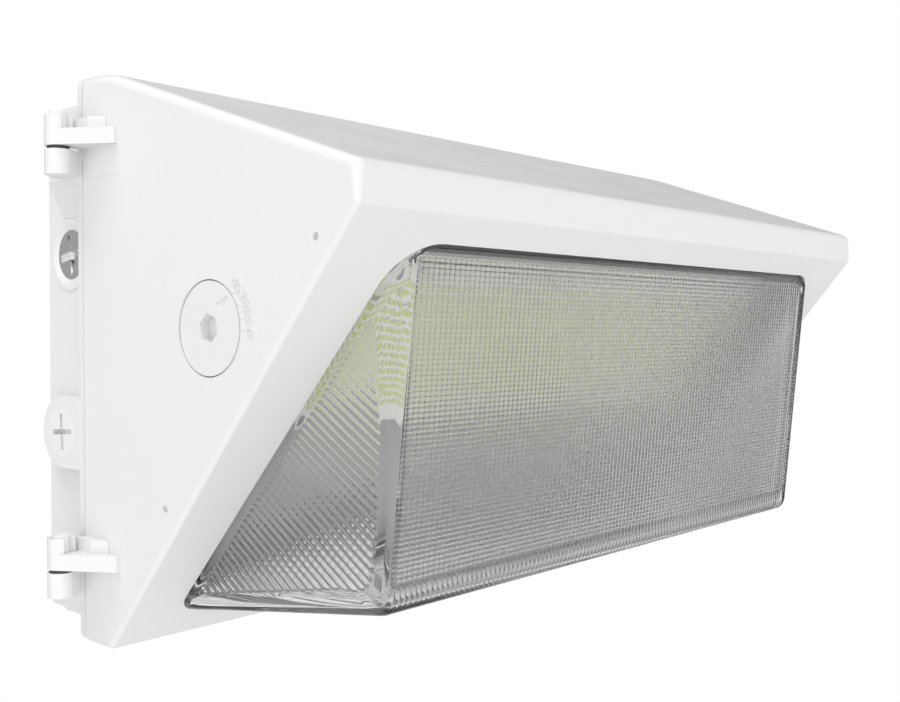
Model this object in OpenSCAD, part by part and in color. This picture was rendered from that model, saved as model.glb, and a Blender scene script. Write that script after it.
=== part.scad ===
// Hinged wall pack light: a cast back box, a sloped cast cover with a ribbed lens,
// and a light board inside that a dial on the left side tilts.
// Origin: centre of the face that lies on the wall. +Y points into the wall, +Z up.

/* [Housing] */
// Width across the rim
housing_w = 419.2; // [400:0.1:440]
// Height of the rim and the cover
housing_h = 235; // [228:0.5:245]
// Depth of the back box, from the wall to the rim
box_d = 33; // [31:0.5:40]
// Thickness of the rim that the cover closes on
rim_t = 3.75; // [3:0.05:5]
// How far the rim stands out past the sides of the back box
rim_side = 4.6; // [4:0.1:8]
// How far the rim stands out above and below the back box
rim_top = 8.3; // [5:0.1:10]
// Wall of the back box
box_wall = 3; // [2.5:0.1:4]
// Thickness of the back of the box, against the wall
back_t = 4; // [3.5:0.1:6]
// Draft of the back box, per side, over its depth
box_draft = 0.4; // [0.2:0.1:3]
// Corner radius of the back box
box_r = 3; // [2:0.5:10]

/* [Cover] */
// Depth from the back of the rim to the front band
cover_d = 162; // [155:0.5:170]
// How far the sides draw in on the way to the front band
front_in = 6.5; // [4:0.1:10]
// Depth of the flat top before the slope starts
top_flat = 20.05; // [15:0.05:30]
// Height of the upper edge of the front band
band_top = 186.2; // [178:0.1:192]
// Height of the front band
band_h = 14.5; // [10:0.1:20]
// Depth of the flat underside
bottom_flat = 21.6; // [18:0.1:26]
// Wall of the cover
wall = 4; // [3.5:0.1:5]
// Radius of the upper and side edges
edge_r = 4; // [2:0.5:6]
// Radius of the edges round the lens side
bezel_r = 2.2; // [1:0.1:4]
// Large radius that eases the fold in the top
fold_r = 60; // [30:1:90]
// Radius inside the corners of the cover
inner_r = 2.5; // [1.5:0.1:4]
// Gap between the rim and the closed cover
part_gap = 0.3; // [0.2:0.05:0.5]
// Width of the flat land along the back edge of the cover
land_w = 8; // [7:0.1:10]
// Depth of that land
land_d = 5; // [4:0.1:8]

/* [Lens] */
// Distance from the side of the rim to the opening's lower corner
open_side_bot = 26.4; // [24:0.1:34]
// Distance from the side of the rim to the opening's upper corner
open_side_top = 36.2; // [34:0.1:42]
// Distance of the opening's lower edge from the lower edge of the sloped face
open_low = 15.2; // [13:0.1:20]
// Distance of the opening's upper edge from the upper edge of the sloped face
open_high = 13.2; // [12:0.1:20]
// Radius of the lower corners of the opening
open_r_bot = 10; // [6:0.5:14]
// Radius of the upper corners of the opening
open_r_top = 22; // [14:0.5:26]
// Clearance round the lens in its opening
lens_gap = 0.8; // [0.4:0.1:1.5]
// Thickness of the lens
lens_t = 3.5; // [2.5:0.1:4.5]
// Distance from the side of the rim to the top corner of the front face
face_side_top = 45.4; // [43:0.1:52]
// Distance from the side of the rim to the bottom corner of the front face
face_side_bot = 42.5; // [40:0.1:50]
// Distance of the top of the front face from the opening's upper edge
face_top_in = 3.1; // [2.5:0.1:6]
// How far the lens stands out of the sloped face
lens_deep = 74.6; // [65:0.1:78]
// Radius of the upright corners of the lens
lens_corner_r = 12; // [10:0.5:16]
// Radius of the lower front edge of the lens
lens_edge_r = 7; // [5:0.5:9]
// How far the flange of the lens reaches past the opening
flange_over = 7; // [5:0.1:8]
// Thickness of that flange
flange_t = 3; // [2:0.1:4]
// Thickness of the pressed lens gasket
lens_gasket_t = 2; // [1.5:0.1:3]
// Width of the lens gasket
lens_gasket_w = 5; // [4:0.1:6]

/* [Clips] */
// Radius of the posts that carry the clips
post_r = 4; // [3.5:0.1:5]
// Thickness of a clip
clip_t = 1.5; // [1:0.1:2]
// Width of a clip
clip_w = 10; // [8:0.5:14]
// How far a clip reaches over the flange
clip_reach = 4; // [3:0.1:5]
// Gap between a post and the flange
post_gap = 1; // [0.5:0.1:2]
// Radius of the small screw shanks
small_r = 1.5; // [1.25:0.05:2]
// Radius of the small screw heads
small_head_r = 3; // [2.5:0.1:3.5]
// Height of the small screw heads
small_head_h = 2.2; // [1.6:0.1:2.6]
// Length of the small screw shanks
small_len = 5; // [4:0.1:7]

/* [Hinge] */
// Distance between the two hinges
hinge_spacing = 172.2; // [160:0.1:185]
// Height of the middle between the hinges above the origin
hinge_mid = 0.7; // [-3:0.1:3]
// How far the hinge axis stands out from the side of the rim
hinge_out = 10.6; // [10:0.1:14]
// Radius of the knuckles
knuckle_r = 5.4; // [5:0.1:7]
// Height of a cover knuckle
cover_knuckle_h = 12.7; // [11:0.1:16]
// Height of a box knuckle
box_knuckle_h = 10.2; // [8:0.1:12]
// Gap between the knuckles, filled by a washer
knuckle_gap = 1.4; // [1:0.1:3]
// Radius of the hinge pins
pin_r = 3.5; // [3:0.1:3.8]
// How far a pin shows above its cover knuckle
pin_proud = 1.2; // [0.5:0.1:2]
// Thickness of the ledge that carries a cover knuckle
ledge_t = 6.5; // [5:0.1:7]
// How far the ledge runs forward along the side
ledge_len = 24.7; // [18:0.1:30]
// Radial clearance of a running fit
run_gap = 0.05; // [0.02:0.01:0.09]

/* [Dial] */
// Distance of the dial's centre from the back of the rim
dial_out = 85.7; // [80:0.1:90]
// Height of the dial's centre above the housing's bottom
dial_h = 130.9; // [126:0.1:134]
// Radius of the dial's head
dial_r = 17.65; // [15:0.05:20]
// Thickness of the dial's head
dial_t = 3; // [2.5:0.1:4]
// Gap round the dial's head
dial_gap = 0.5; // [0.3:0.1:1]
// Radius of the dial's shaft
shaft_r = 8; // [7.5:0.1:9]
// Width across flats of the dial's hexagon socket
hex_af = 10; // [8:0.5:11]
// Depth of the hexagon socket
hex_deep = 4.4; // [4:0.1:8]
// Tilt that the dial is set to
rest_tilt = 45; // [30:1:45]

/* [Light board] */
// Distance from the side of the rim to the end of the board
board_in = 56.6; // [55.6:0.1:66]
// Height of the board
board_h = 98; // [90:1:100]
// Thickness of the board
board_t = 1.6; // [1:0.1:2]
// Distance from the dial's axis to the lit face
board_out = 11.2; // [10:0.1:12]
// Rows of chips
chip_rows = 15; // [8:15]
// Height of the bare border above and below the chips
border_h = 12.6; // [11:0.1:16]
// Height of a row of chips
chip_h = 2.8; // [2:0.1:3.5]
// Thickness of a chip
chip_t = 0.8; // [0.5:0.1:1]
// Thickness of the tray behind the board
tray_t = 3; // [2:0.1:4]
// How far the tray stands out round the board
tray_rim = 3; // [2:0.5:4]
// Height of the cooling fins
fin_h = 15; // [10:0.5:18]
// Thickness of a cooling fin
fin_t = 1.8; // [1.2:0.1:2.5]
// Distance between cooling fins
fin_pitch = 10; // [8:0.5:14]
// Thickness of the arms that carry the tray
arm_t = 3; // [2:0.1:4]

/* [Cable entries] */
// Radius of a plug, for a half-inch pipe thread
plug_r = 10.65; // [10.6:0.05:10.7]
// Radius of the bosses round the plugs
boss_r = 15.3; // [14:0.1:17]
// Height of the upper plug above the housing's bottom
upper_plug_h = 162.7; // [155:0.1:166]
// Height of the lower plug above the housing's bottom
lower_plug_h = 86.8; // [80:0.1:92]
// Distance of both plugs from the back of the rim
plug_back = 14.6; // [14:0.1:16]
// Radius of the wire entry in the back
entry_r = 11.1; // [10.5:0.1:14]
// How far the wire entry lies below the middle
entry_drop = 26; // [20:0.5:34]

/* [Fixings] */
// Distance from the side of the rim to the wall holes
wall_hole_in = 44.6; // [40:0.1:60]
// Distance between the wall holes up the back
wall_hole_z = 160; // [140:1:170]
// Radius of the wall holes
wall_hole_r = 3.5; // [3:0.1:4]
// Distance between the two holes for a round wiring box
box_hole_x = 88.9; // [85:0.1:92]
// Radius of those holes
box_hole_r = 2.5; // [2:0.1:3]
// Radius of the closing screws' shanks
closer_r = 2.5; // [2:0.1:3]
// How far the closing screws are backed out
closer_out = 9; // [7:0.5:12]

/* [Hidden] */
$fn = 48;

// Shared small sizes
over = 1;
skin = 0.01;
fit_gap = 0.03;
hull_fn = 32;

// Main planes and shares of the housing
half_w = housing_w / 2;
half_h = housing_h / 2;
rim_y = -box_d;
part_y = rim_y - rim_t;
cover_y = part_y - part_gap;
front_y = rim_y - cover_d;
side_taper = front_in / cover_d;
taper_angle = atan(side_taper);
wall_hole_x = 2 * (half_w - wall_hole_in);
function up(h) = h - half_h;
function cover_half(y) = half_w + side_taper * (y - rim_y);

// Side outline of the cover as [y, z] corners, top rear first
back_run = 2 * edge_r;
corner_rear_top = [rim_y + back_run, half_h];
corner_fold = [rim_y - top_flat, half_h];
corner_band_top = [front_y, up(band_top)];
corner_band_low = [front_y, up(band_top - band_h)];
corner_bezel_low = [rim_y - bottom_flat, -half_h];
corner_rear_low = [rim_y + back_run, -half_h];
outline = [corner_rear_top, corner_fold, corner_band_top, corner_band_low,
    corner_bezel_low, corner_rear_low];
outline_r = [edge_r, edge_r, edge_r, bezel_r, bezel_r, edge_r];
slope_angle = atan((half_h - corner_band_top[1]) / (corner_fold[0] - front_y));
fold_steps = 4;

// The sloped lens side, and its own frame: x across, z up the slope, -y outwards
bezel_y = corner_bezel_low[0];
bezel_tilt = atan((bezel_y - front_y) / (corner_band_low[1] + half_h));
open_top = norm(corner_band_low - corner_bezel_low) - open_high;
open_h = open_top - open_low;
open_half_bot = half_w - open_side_bot;
open_half_top = half_w - open_side_top;

// Place as [y, z], from its height up the slope and how far it stands out of it
function on_bezel(height, out) = corner_bezel_low
    + height * [-sin(bezel_tilt), cos(bezel_tilt)] - out * [cos(bezel_tilt), sin(bezel_tilt)];
face_bot_share = 0.4064;
face_top = on_bezel(open_top - face_top_in, 0);
face_bot = on_bezel(open_low + face_bot_share * open_h, lens_deep);
flange_front = wall + lens_gasket_t;
flange_back = flange_front + flange_t;

// Dial and tilt frame
dial_y = rim_y - dial_out;
dial_z = up(dial_h);
dial_face_x = cover_half(dial_y);
dial_floor_x = dial_face_x - dial_t - part_gap;
dial_boss_r = 22;
dial_boss_l = 14;
dial_boss_end = dial_floor_x - dial_boss_l;
bush_wall = 2;
o_ring_r = 1.2;
o_ring_seat = 3 * o_ring_r;
o_ring_seat_r = shaft_r + 2 * o_ring_r + 2 * fit_gap;
circlip_t = 1.2;
circlip_r = 11;
circlip_groove = 1;
board_w = 2 * (half_w - board_in);
row_pitch = (board_h - 2 * border_h - chip_h) / (chip_rows - 1);
board_back = board_out - board_t;
tray_front = board_back;
tray_back = tray_front - tray_t;
tray_half_w = board_w / 2 + tray_rim;
tray_half_h = board_h / 2 + tray_rim;
arm_play = 1.9;
arm_x = dial_boss_end - circlip_t - arm_play - arm_t;
arm_foot_in = 34;
arm_screw_in = 5;
arm_screw_x = tray_half_w - arm_screw_in;
arm_w = 36;
arm_relief_r = 10.5;
arm_relief_l = 11;
stub_side = 9;
thread_r = 4;
nut_af = 13;
nut_t = 5;
pivot_r = 4;
pivot_head_r = 7;
pivot_head_h = 3;
pivot_boss_r = 12;
pivot_bush_r = 6;
pivot_bush_rim_r = 9;
pivot_bush_rim_t = 1.2;

// Hinge
hinge_x = -half_w - hinge_out;
hinge_y = part_y;
split_z = [hinge_mid + hinge_spacing / 2, hinge_mid - hinge_spacing / 2];
web_gap = 1.1;
web_out = hinge_out - knuckle_r - web_gap;
web_len = 11.5;
pad_t = 0.2;
pad_len = 26;
pad_up = 11;
notch_turn = -30;
gusset_h = 15;
gusset_out = 7;
gusset_d = 20;
pad_down = 12;

// Closing lugs on the right side
lug_r = 6.5;
lug_out = 8;
lug_x = half_w + lug_out;
lug_front_t = 12;
lug_back_t = 14;
closer_head_r = 4.5;
closer_head_h = 4;
closer_len = 20;
closer_gap = 0.4;
washer_t = 1;

// Reflector pan
pan_t = 1.2;
pan_side = 11.6;
pan_half_w = half_w - pan_side;
pan_in = 12;
pan_step = 6;
pan_low_y = rim_y - pan_in;
pan_high_y = pan_low_y - pan_step;
pan_step_h = 78;
pan_step_low = up(pan_step_h);
pan_step_high = pan_step_low + pan_step;
pan_edge_low = 22;
pan_edge_high = 30;
pan_bottom = -half_h + pan_edge_low;
pan_top = half_h - pan_edge_high;
pan_lip = 12;
pan_block = 12;
pan_block_in = 16;
pan_block_z = [pan_top - pan_block_in, pan_bottom + pan_block_in];
pan_screw_in = 5;
pan_screw_x = pan_half_w - pan_screw_in;

// Parts on the back of the box
stand_h = 3;
driver_x = -20;
driver_drop = 51.5;
driver_size = [160, 26, 52];
driver_at = [driver_x, half_h - driver_drop];
low_row_h = 58;
low_row_z = up(low_row_h);
surge_x = -105;
surge_size = [50, 22, 30];
surge_at = [surge_x, low_row_z];
block_gap = 20;
block_size = [32, 18, 20];
block_at = [driver_x + driver_size[0] / 2 + block_gap, low_row_z];
tab_w = 9;
tab_t = 2;
lead_r = 1.2;
lead_bend = 8;
lead_count = 3;
lead_pitch = 10;
lead_rise = 6;
ground_gap = 50;
ground_at = [block_at[0] + ground_gap, low_row_z];

// Frames and basic shapes

module at_bezel() translate([0, bezel_y, -half_h]) rotate([bezel_tilt, 0, 0]) children();

module at_tilt() translate([0, dial_y, dial_z]) rotate([-rest_tilt, 0, 0]) children();

module both_sides() {
    children();
    mirror([1, 0, 0]) children();
}

// Cylinder along X from x = a to x = b
module rod_x(a, b, r) translate([a, 0, 0]) rotate([0, 90, 0]) cylinder(h = b - a, r = r);

// Cylinder along Y from y = a to y = b
module rod_y(a, b, r) translate([0, a, 0]) rotate([-90, 0, 0]) cylinder(h = b - a, r = r);

// Box given by two opposite corners
module block(a, b) translate(a) cube(b - a);

// Flat outline in the sloped frame, from depth y back towards the outside by t
module slab(y, t) translate([0, y, 0]) rotate([90, 0, 0]) linear_extrude(t) children();

// Rectangle with round corners, centred
module round_rect(w, h, r) {
    square([w - 2 * r, h], center = true);
    square([w, h - 2 * r], center = true);
    for (sx = [-1, 1], sz = [-1, 1])
        translate([sx * (w / 2 - r), sz * (h / 2 - r)]) circle(r);
}

// Upright plate facing Y, from y = a to y = b, with round corners
module plate_y(a, b, w, h, r)
    translate([0, b, 0]) rotate([90, 0, 0]) linear_extrude(b - a) round_rect(w, h, r);

// Pan head screw along -Z with a crossed slot, its head's underside at z = 0
module screw(head_r, head_h, shank_r, shank_l) {
    slot_w = head_r * 0.3;
    slot_l = head_r * 1.3;
    slot_d = head_h * 0.5;
    difference() {
        union() {
            cylinder(h = head_h, r = head_r);
            translate([0, 0, -shank_l]) cylinder(h = shank_l + skin, r = shank_r);
        }
        for (turn = [0, 90]) rotate(turn)
            translate([-slot_l / 2, -slot_w / 2, head_h - slot_d]) cube([slot_l, slot_w, slot_d + over]);
    }
}

module small_screw() screw(small_head_r, small_head_h, small_r, small_len);

// Cover outline: corner points drawn in by r from both their sides

function unit(v) = v / norm(v);
function inward(a, b) = let (d = unit(b - a)) [-d[1], d[0]];
function drawn_in(a, b, c, r) =
    let (n1 = inward(a, b), n2 = inward(b, c)) b + r * (n1 + n2) / (1 + n1 * n2);
function ring_pt(i) = outline[(i + len(outline)) % len(outline)];
function corner_in(i, r) = drawn_in(ring_pt(i - 1), ring_pt(i), ring_pt(i + 1), r);

// Ball centres for a shell drawn in by inset with ball radius r, fold arc included
function fold_centres(inset, r) =
    let (c = corner_in(1, fold_r + inset))
    [for (i = [0:fold_steps]) let (a = 90 + slope_angle * i / fold_steps)
        c + (fold_r - r) * [cos(a), sin(a)]];
function shell_balls(inset, r) = concat(
    [[corner_in(0, inset + r), r]],
    [for (c = fold_centres(inset, r)) [c, r]],
    [for (i = [2:5]) let (q = inset > 0 ? r : outline_r[i]) [corner_in(i, inset + q), q]]);

module cover_body(inset, r)
    hull() for (ball = shell_balls(inset, r), s = [-1, 1])
        translate([s * (cover_half(ball[0][0]) - inset - ball[1]), ball[0][0], ball[0][1]])
            sphere(r = ball[1], $fn = hull_fn);

// Lens outline in the sloped frame

function open_half(v) =
    open_half_bot + (open_half_top - open_half_bot) * (v - open_low) / open_h;

module opening(grow)
    hull() for (s = [-1, 1]) {
        translate([s * (open_half_bot - open_r_bot), open_low + open_r_bot])
            circle(open_r_bot + grow);
        translate([s * (open_half_top - open_r_top), open_top - open_r_top])
            circle(open_r_top + grow);
    }

// Solid form of the lens drawn in by t: sloped base, upright corners, round lower edge.
// It ends base_back behind the sloped face.
module lens_form(t, base_back) intersection() {
    at_bezel() block([-housing_w, -housing_h, -housing_h], [housing_w, base_back, 2 * housing_h]);
    hull() {
        at_bezel() slab(base_back, base_back) opening(-lens_gap - t);
        for (s = [-1, 1]) {
            translate([s * (half_w - face_side_top - lens_corner_r), face_top[0] + lens_corner_r,
                face_top[1] - t - over]) cylinder(h = over, r = lens_corner_r - t, $fn = hull_fn);
            translate([s * (half_w - face_side_bot - lens_corner_r), face_bot[0] + lens_corner_r,
                face_bot[1] + lens_edge_r]) round_foot(lens_corner_r - t, lens_edge_r - t);
        }
    }
}

// Upright disc of radius r whose rim is rounded with radius e
module round_foot(r, e)
    rotate_extrude($fn = hull_fn) intersection() {
        translate([r - e, 0]) circle(e, $fn = hull_fn);
        translate([0, -e]) square([r, 2 * e]);
    }

// Places of the clips: [x, height up the slope, turn], turned so that they point inwards
side_clip_shares = [0.2, 0.78];
clip_line = flange_over + post_gap + post_r;
side_clips = [for (s = [-1, 1], k = side_clip_shares)
    let (v = open_low + k * open_h) [s * (open_half(v) + clip_line), v, s > 0 ? 180 : 0]];
end_clip_x = open_half_bot * 0.5;
end_clips = [for (s = [-1, 1]) each [
    [s * end_clip_x, open_low - clip_line, -90],
    [s * end_clip_x, open_top + clip_line, 90]]];
clips = concat(side_clips, end_clips);

module at_clip(c) at_bezel() translate([c[0], flange_back, c[1]]) rotate([0, c[2], 0]) children();

// Cover knuckle, ledge and web, as seen from above

// Plan of the ledge: its outer edge runs from the knuckle's side to the cover's side
module ledge_plan() {
    ledge_end = [-half_w - over / 2, cover_y - ledge_len];
    hinge_c = [hinge_x, hinge_y];
    reach = norm(hinge_c - ledge_end);
    aim = atan2(hinge_c[1] - ledge_end[1], hinge_c[0] - ledge_end[0]);
    touch = sqrt(reach * reach - knuckle_r * knuckle_r);
    swing = aim + asin(knuckle_r / reach);
    outer = ledge_end + touch * [cos(swing), sin(swing)];
    root_x = -half_w + wall / 2;
    polygon([hinge_c, outer, ledge_end, [root_x, ledge_end[1]], [root_x, cover_y],
        [hinge_x + knuckle_r, cover_y]]);
}

module web_plan() {
    root_x = -half_w + wall / 2;
    web_end = cover_y - web_len;
    polygon([[-half_w - web_out, cover_y], [-half_w - web_out, web_end],
        [-half_w, web_end - 1.5 * web_out], [root_x, web_end - 1.5 * web_out], [root_x, cover_y]]);
}

module cover_knuckle(z) {
    low = z + knuckle_gap / 2;
    translate([0, 0, low]) {
        difference() {
            union() {
                translate([hinge_x, hinge_y, 0]) cylinder(h = cover_knuckle_h, r = knuckle_r);
                linear_extrude(ledge_t) ledge_plan();
                linear_extrude(cover_knuckle_h - over) web_plan();
            }
            // Notch on the front quarter that shows the pin
            translate([hinge_x, hinge_y, ledge_t]) rotate(notch_turn)
                block([knuckle_r / 4, -2 * knuckle_r, 0], [2 * knuckle_r, over / 2, cover_knuckle_h]);
        }
        // Web kept beside the notch
        linear_extrude(cover_knuckle_h - over) web_plan();
    }
    // Thin pad on the cover's side
    translate([-cover_half(cover_y), cover_y, low - pad_down]) rotate(taper_angle)
        block([-pad_t, -pad_len, 0], [wall / 2, 0, pad_down + pad_up]);
}

module box_knuckle(z) {
    high = z - knuckle_gap / 2;
    root_x = -half_w + rim_side + box_draft;
    front = [hinge_x + knuckle_r * 0.5, hinge_y - knuckle_r * 0.84];
    back_y = rim_y + box_d * 0.25;
    translate([0, 0, high - box_knuckle_h]) linear_extrude(box_knuckle_h) {
        translate([hinge_x, hinge_y]) circle(knuckle_r);
        polygon([[hinge_x, hinge_y], front, [-half_w - over, part_y], [-half_w, part_y],
            [root_x, rim_y], [root_x, back_y], [hinge_x + knuckle_r * 0.6, back_y - over],
            [hinge_x - knuckle_r * 0.5, hinge_y + knuckle_r * 0.84]]);
    }
    // Sloped gusset below it, on the side of the box and of the rim
    gusset_top = high - box_knuckle_h;
    gusset_low = max(gusset_top - gusset_h, -half_h + rim_top + box_draft);
    side_x = -half_w + rim_side;
    translate([0, rim_y + gusset_d, gusset_low]) rotate([90, 0, 0])
        linear_extrude(gusset_d + rim_t)
            polygon([[side_x + box_draft, 0], [side_x, 0], [side_x - gusset_out, gusset_top - gusset_low],
                [side_x + box_draft, gusset_top - gusset_low]]);
}

// Rear housing

module box_form(inset, back, front)
    hull() for (sx = [-1, 1], sz = [-1, 1]) {
        translate([sx * (half_w - rim_side - box_draft - inset - box_r), 0,
            sz * (half_h - rim_top - box_draft - inset - box_r)])
            rod_y(back - skin, back, box_r);
        translate([sx * (half_w - rim_side - inset - box_r), 0,
            sz * (half_h - rim_top - inset - box_r)]) rod_y(front, front + skin, box_r);
    }

upper_plug_z = up(upper_plug_h);
lower_plug_z = up(lower_plug_h);
plug_y = rim_y + plug_back;
plug_face_proud = 0.3;
upper_face_x = half_w - rim_side + plug_face_proud;
boss_deep = 14;
sink_over = 2.6;
sink_r = plug_r + sink_over;
sink_d = 0.9;
driver_holes = [for (s = [-1, 1])
    [driver_at[0] + s * (driver_size[0] / 2 + tab_w / 2), driver_at[1]]];
surge_holes = [for (s = [-1, 1])
    [surge_at[0] + s * (surge_size[0] / 2 + tab_w / 2), surge_at[1]]];
block_holes = [for (s = [-1, 1])
    [block_at[0] + s * (block_size[0] / 2 + tab_w / 2), block_at[1]]];
part_holes = concat(driver_holes, surge_holes, block_holes);
stand_r = tab_w / 2;

module closing_lug(a, b)
    for (z = split_z) translate([lug_x, 0, z]) {
        rod_y(a, b, lug_r);
        block([-(lug_x - half_w) - wall, a, -lug_r], [0, b, lug_r]);
    }

module rear_housing() color("whitesmoke") difference() {
    union() {
        difference() {
            union() {
                box_form(0, 0, rim_y);
                plate_y(part_y, rim_y, 2 * cover_half(part_y), housing_h, edge_r);
            }
            box_form(box_wall, -back_t, part_y - over);
        }
        // Upper plug's boss, and the lower one that is level with the rim
        translate([0, plug_y, upper_plug_z]) rod_x(-upper_face_x, -upper_face_x + boss_deep, boss_r);
        translate([0, plug_y, lower_plug_z]) {
            rod_x(-half_w, -half_w + rim_side + boss_deep, boss_r);
            block([-half_w, rim_y - plug_y - skin, -boss_r],
                [-half_w + rim_side + box_wall, 0, boss_r]);
        }
        for (z = split_z) box_knuckle(z);
        closing_lug(part_y, part_y + lug_back_t);
        // Stands for the parts inside, and rings round the wall holes
        for (h = part_holes) translate([h[0], 0, h[1]]) rod_y(-back_t - stand_h, -back_t + skin, stand_r);
        translate([ground_at[0], 0, ground_at[1]]) rod_y(-back_t - 2 * stand_h, -back_t + skin, stand_r);
        for (sx = [-1, 1], sz = [-1, 1]) translate([sx * wall_hole_x / 2, 0, sz * wall_hole_z / 2])
            rod_y(-back_t - stand_h, -back_t + skin, wall_hole_r + stand_r);
    }
    // Threaded plug holes with countersinks
    translate([0, plug_y, upper_plug_z]) {
        rod_x(-upper_face_x - over, -upper_face_x + boss_deep + over, plug_r + fit_gap);
        translate([-upper_face_x - skin, 0, 0]) rotate([0, 90, 0])
            cylinder(h = sink_d, r1 = sink_r, r2 = plug_r + fit_gap);
    }
    translate([0, plug_y, lower_plug_z])
        rod_x(-half_w - over, -half_w + rim_side + boss_deep + over, plug_r + fit_gap);
    // Hinge pins' seats
    for (z = split_z) translate([hinge_x, hinge_y, z - knuckle_gap / 2 - box_knuckle_h - over])
        cylinder(h = box_knuckle_h + 2 * over, r = pin_r + fit_gap);
    // Closing screw threads
    for (z = split_z) translate([lug_x, 0, z]) rod_y(part_y - over, part_y + lug_back_t + over, closer_r);
    // Wall holes, wiring box holes and wire entry
    for (sx = [-1, 1], sz = [-1, 1]) translate([sx * wall_hole_x / 2, 0, sz * wall_hole_z / 2])
        rod_y(-back_t - stand_h - over, over, wall_hole_r);
    for (s = [-1, 1]) translate([s * box_hole_x / 2, 0, 0]) rod_y(-back_t - over, over, box_hole_r);
    translate([0, 0, -entry_drop]) rod_y(-back_t - over, over, entry_r);
    // Groove for the wall gasket
    difference() {
        rod_y(-gasket_groove_d, over, wall_gasket_r);
        rod_y(-gasket_groove_d - over, 2 * over, wall_gasket_r - wall_gasket_w);
    }
    // Groove for the door gasket
    difference() {
        door_plate(part_y - over, part_y + door_gasket_t, 0);
        door_plate(part_y - 2 * over, part_y + door_gasket_t + over, door_gasket_w);
    }
    // Screw holes in the stands
    for (h = part_holes) translate([h[0], 0, h[1]]) rod_y(-back_t - stand_h - over, -over, small_r + fit_gap);
    translate([ground_at[0], 0, ground_at[1]])
        rod_y(-back_t - 2 * stand_h - over, -over, small_r + fit_gap);
}

wall_gasket_r = 58;
wall_gasket_w = 6;
gasket_groove_d = 2;
door_gasket_in = 2.4;
door_gasket_w = 3.2;
door_gasket_t = 2;
door_gasket_r = 5;

// Upright plate as wide as the door gasket drawn in by inset
module door_plate(a, b, inset)
    plate_y(a, b, 2 * (cover_half(part_y) - door_gasket_in - inset),
        2 * (half_h - door_gasket_in - inset), door_gasket_r - inset);

module wall_gasket() color("dimgray") difference() {
    rod_y(-gasket_groove_d, 0, wall_gasket_r - fit_gap);
    rod_y(-gasket_groove_d - over, over, wall_gasket_r - wall_gasket_w + fit_gap);
}

module door_gasket() color("dimgray") difference() {
    door_plate(part_y, part_y + door_gasket_t, fit_gap);
    door_plate(part_y - over, part_y + door_gasket_t + over, door_gasket_w - fit_gap);
}

// Plug with a crossed slot, its face at x = 0 and its body towards +X
module plug(len, turn, slot_l, slot_w, slot_d)
    rotate([turn, 0, 0]) difference() {
        rod_x(0, len, plug_r);
        for (a = [0, 90]) rotate([a, 0, 0])
            block([-over, -slot_l / 2, -slot_w / 2], [slot_d, slot_l / 2, slot_w / 2]);
    }

plug_len = 11;
slot_d = 3.2;
upper_slot_l = 17.5;
upper_slot_w = 3.4;
upper_turn = -11;
lower_slot_l = 15.4;
lower_slot_w = 2.1;
lower_turn = -4;

module conduit_plug() color("silver") translate([-upper_face_x + sink_d, plug_y, upper_plug_z])
    plug(plug_len, upper_turn, upper_slot_l, upper_slot_w, slot_d);

module port_plug() color("white") translate([-half_w, plug_y, lower_plug_z])
    plug(plug_len, lower_turn, lower_slot_l, lower_slot_w, slot_d);

module hinge_pins() color("white") for (z = split_z)
    translate([hinge_x, hinge_y, z - knuckle_gap / 2 - box_knuckle_h])
        cylinder(h = box_knuckle_h + knuckle_gap + cover_knuckle_h + pin_proud, r = pin_r);

module hinge_washers() color("gainsboro") for (z = split_z)
    translate([hinge_x, hinge_y, z - knuckle_gap / 2]) difference() {
        cylinder(h = knuckle_gap - part_gap / 2, r = knuckle_r - over);
        translate([0, 0, -over]) cylinder(h = knuckle_gap + 2 * over, r = pin_r + fit_gap);
    }

// Box on two screwed tabs, standing on the back's stands
module boxed_part(size, at) translate([at[0], -back_t - stand_h, at[1]]) difference() {
    union() {
        block([-size[0] / 2, -size[1], -size[2] / 2], [size[0] / 2, 0, size[2] / 2]);
        block([-size[0] / 2 - tab_w, -tab_t, -tab_w / 2], [size[0] / 2 + tab_w, 0, tab_w / 2]);
    }
    for (s = [-1, 1]) translate([s * (size[0] / 2 + tab_w / 2), 0, 0])
        rod_y(-tab_t - over, over, small_r + fit_gap);
}

module led_driver() color("silver") difference() {
    boxed_part(driver_size, driver_at);
    // Shallow ribs pressed into the lid
    rib_count = 6;
    rib_gap = driver_size[0] / (rib_count + 1);
    for (i = [1:rib_count]) translate([driver_at[0] - driver_size[0] / 2 + i * rib_gap,
        -back_t - stand_h - driver_size[1], driver_at[1]])
        block([-lead_r, -over, -driver_size[2] / 3], [lead_r, lead_r / 2, driver_size[2] / 3]);
}

module surge_protector() color("dimgray") boxed_part(surge_size, surge_at);

function lead_x(i) = block_at[0] + (i - (lead_count - 1) / 2) * lead_pitch;
function lead_z(i) = driver_at[1] - driver_size[2] / 4 + i * lead_rise;
lead_y = -back_t - stand_h - block_size[1] / 2;
lead_start = driver_at[0] + driver_size[0] / 2;
block_top = block_at[1] + block_size[2] / 2;

module terminal_block() color("ivory") difference() {
    boxed_part(block_size, block_at);
    for (i = [0:lead_count - 1]) {
        translate([lead_x(i), lead_y, block_top - lead_pitch / 2])
            cylinder(h = lead_pitch, r = lead_r + fit_gap);
        translate([lead_x(i), 0, block_at[1] - block_size[2] / 5])
            rod_y(-back_t - stand_h - block_size[1] - over, -back_t - stand_h - block_size[1] + 2 * over,
                small_head_r);
    }
}

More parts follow.
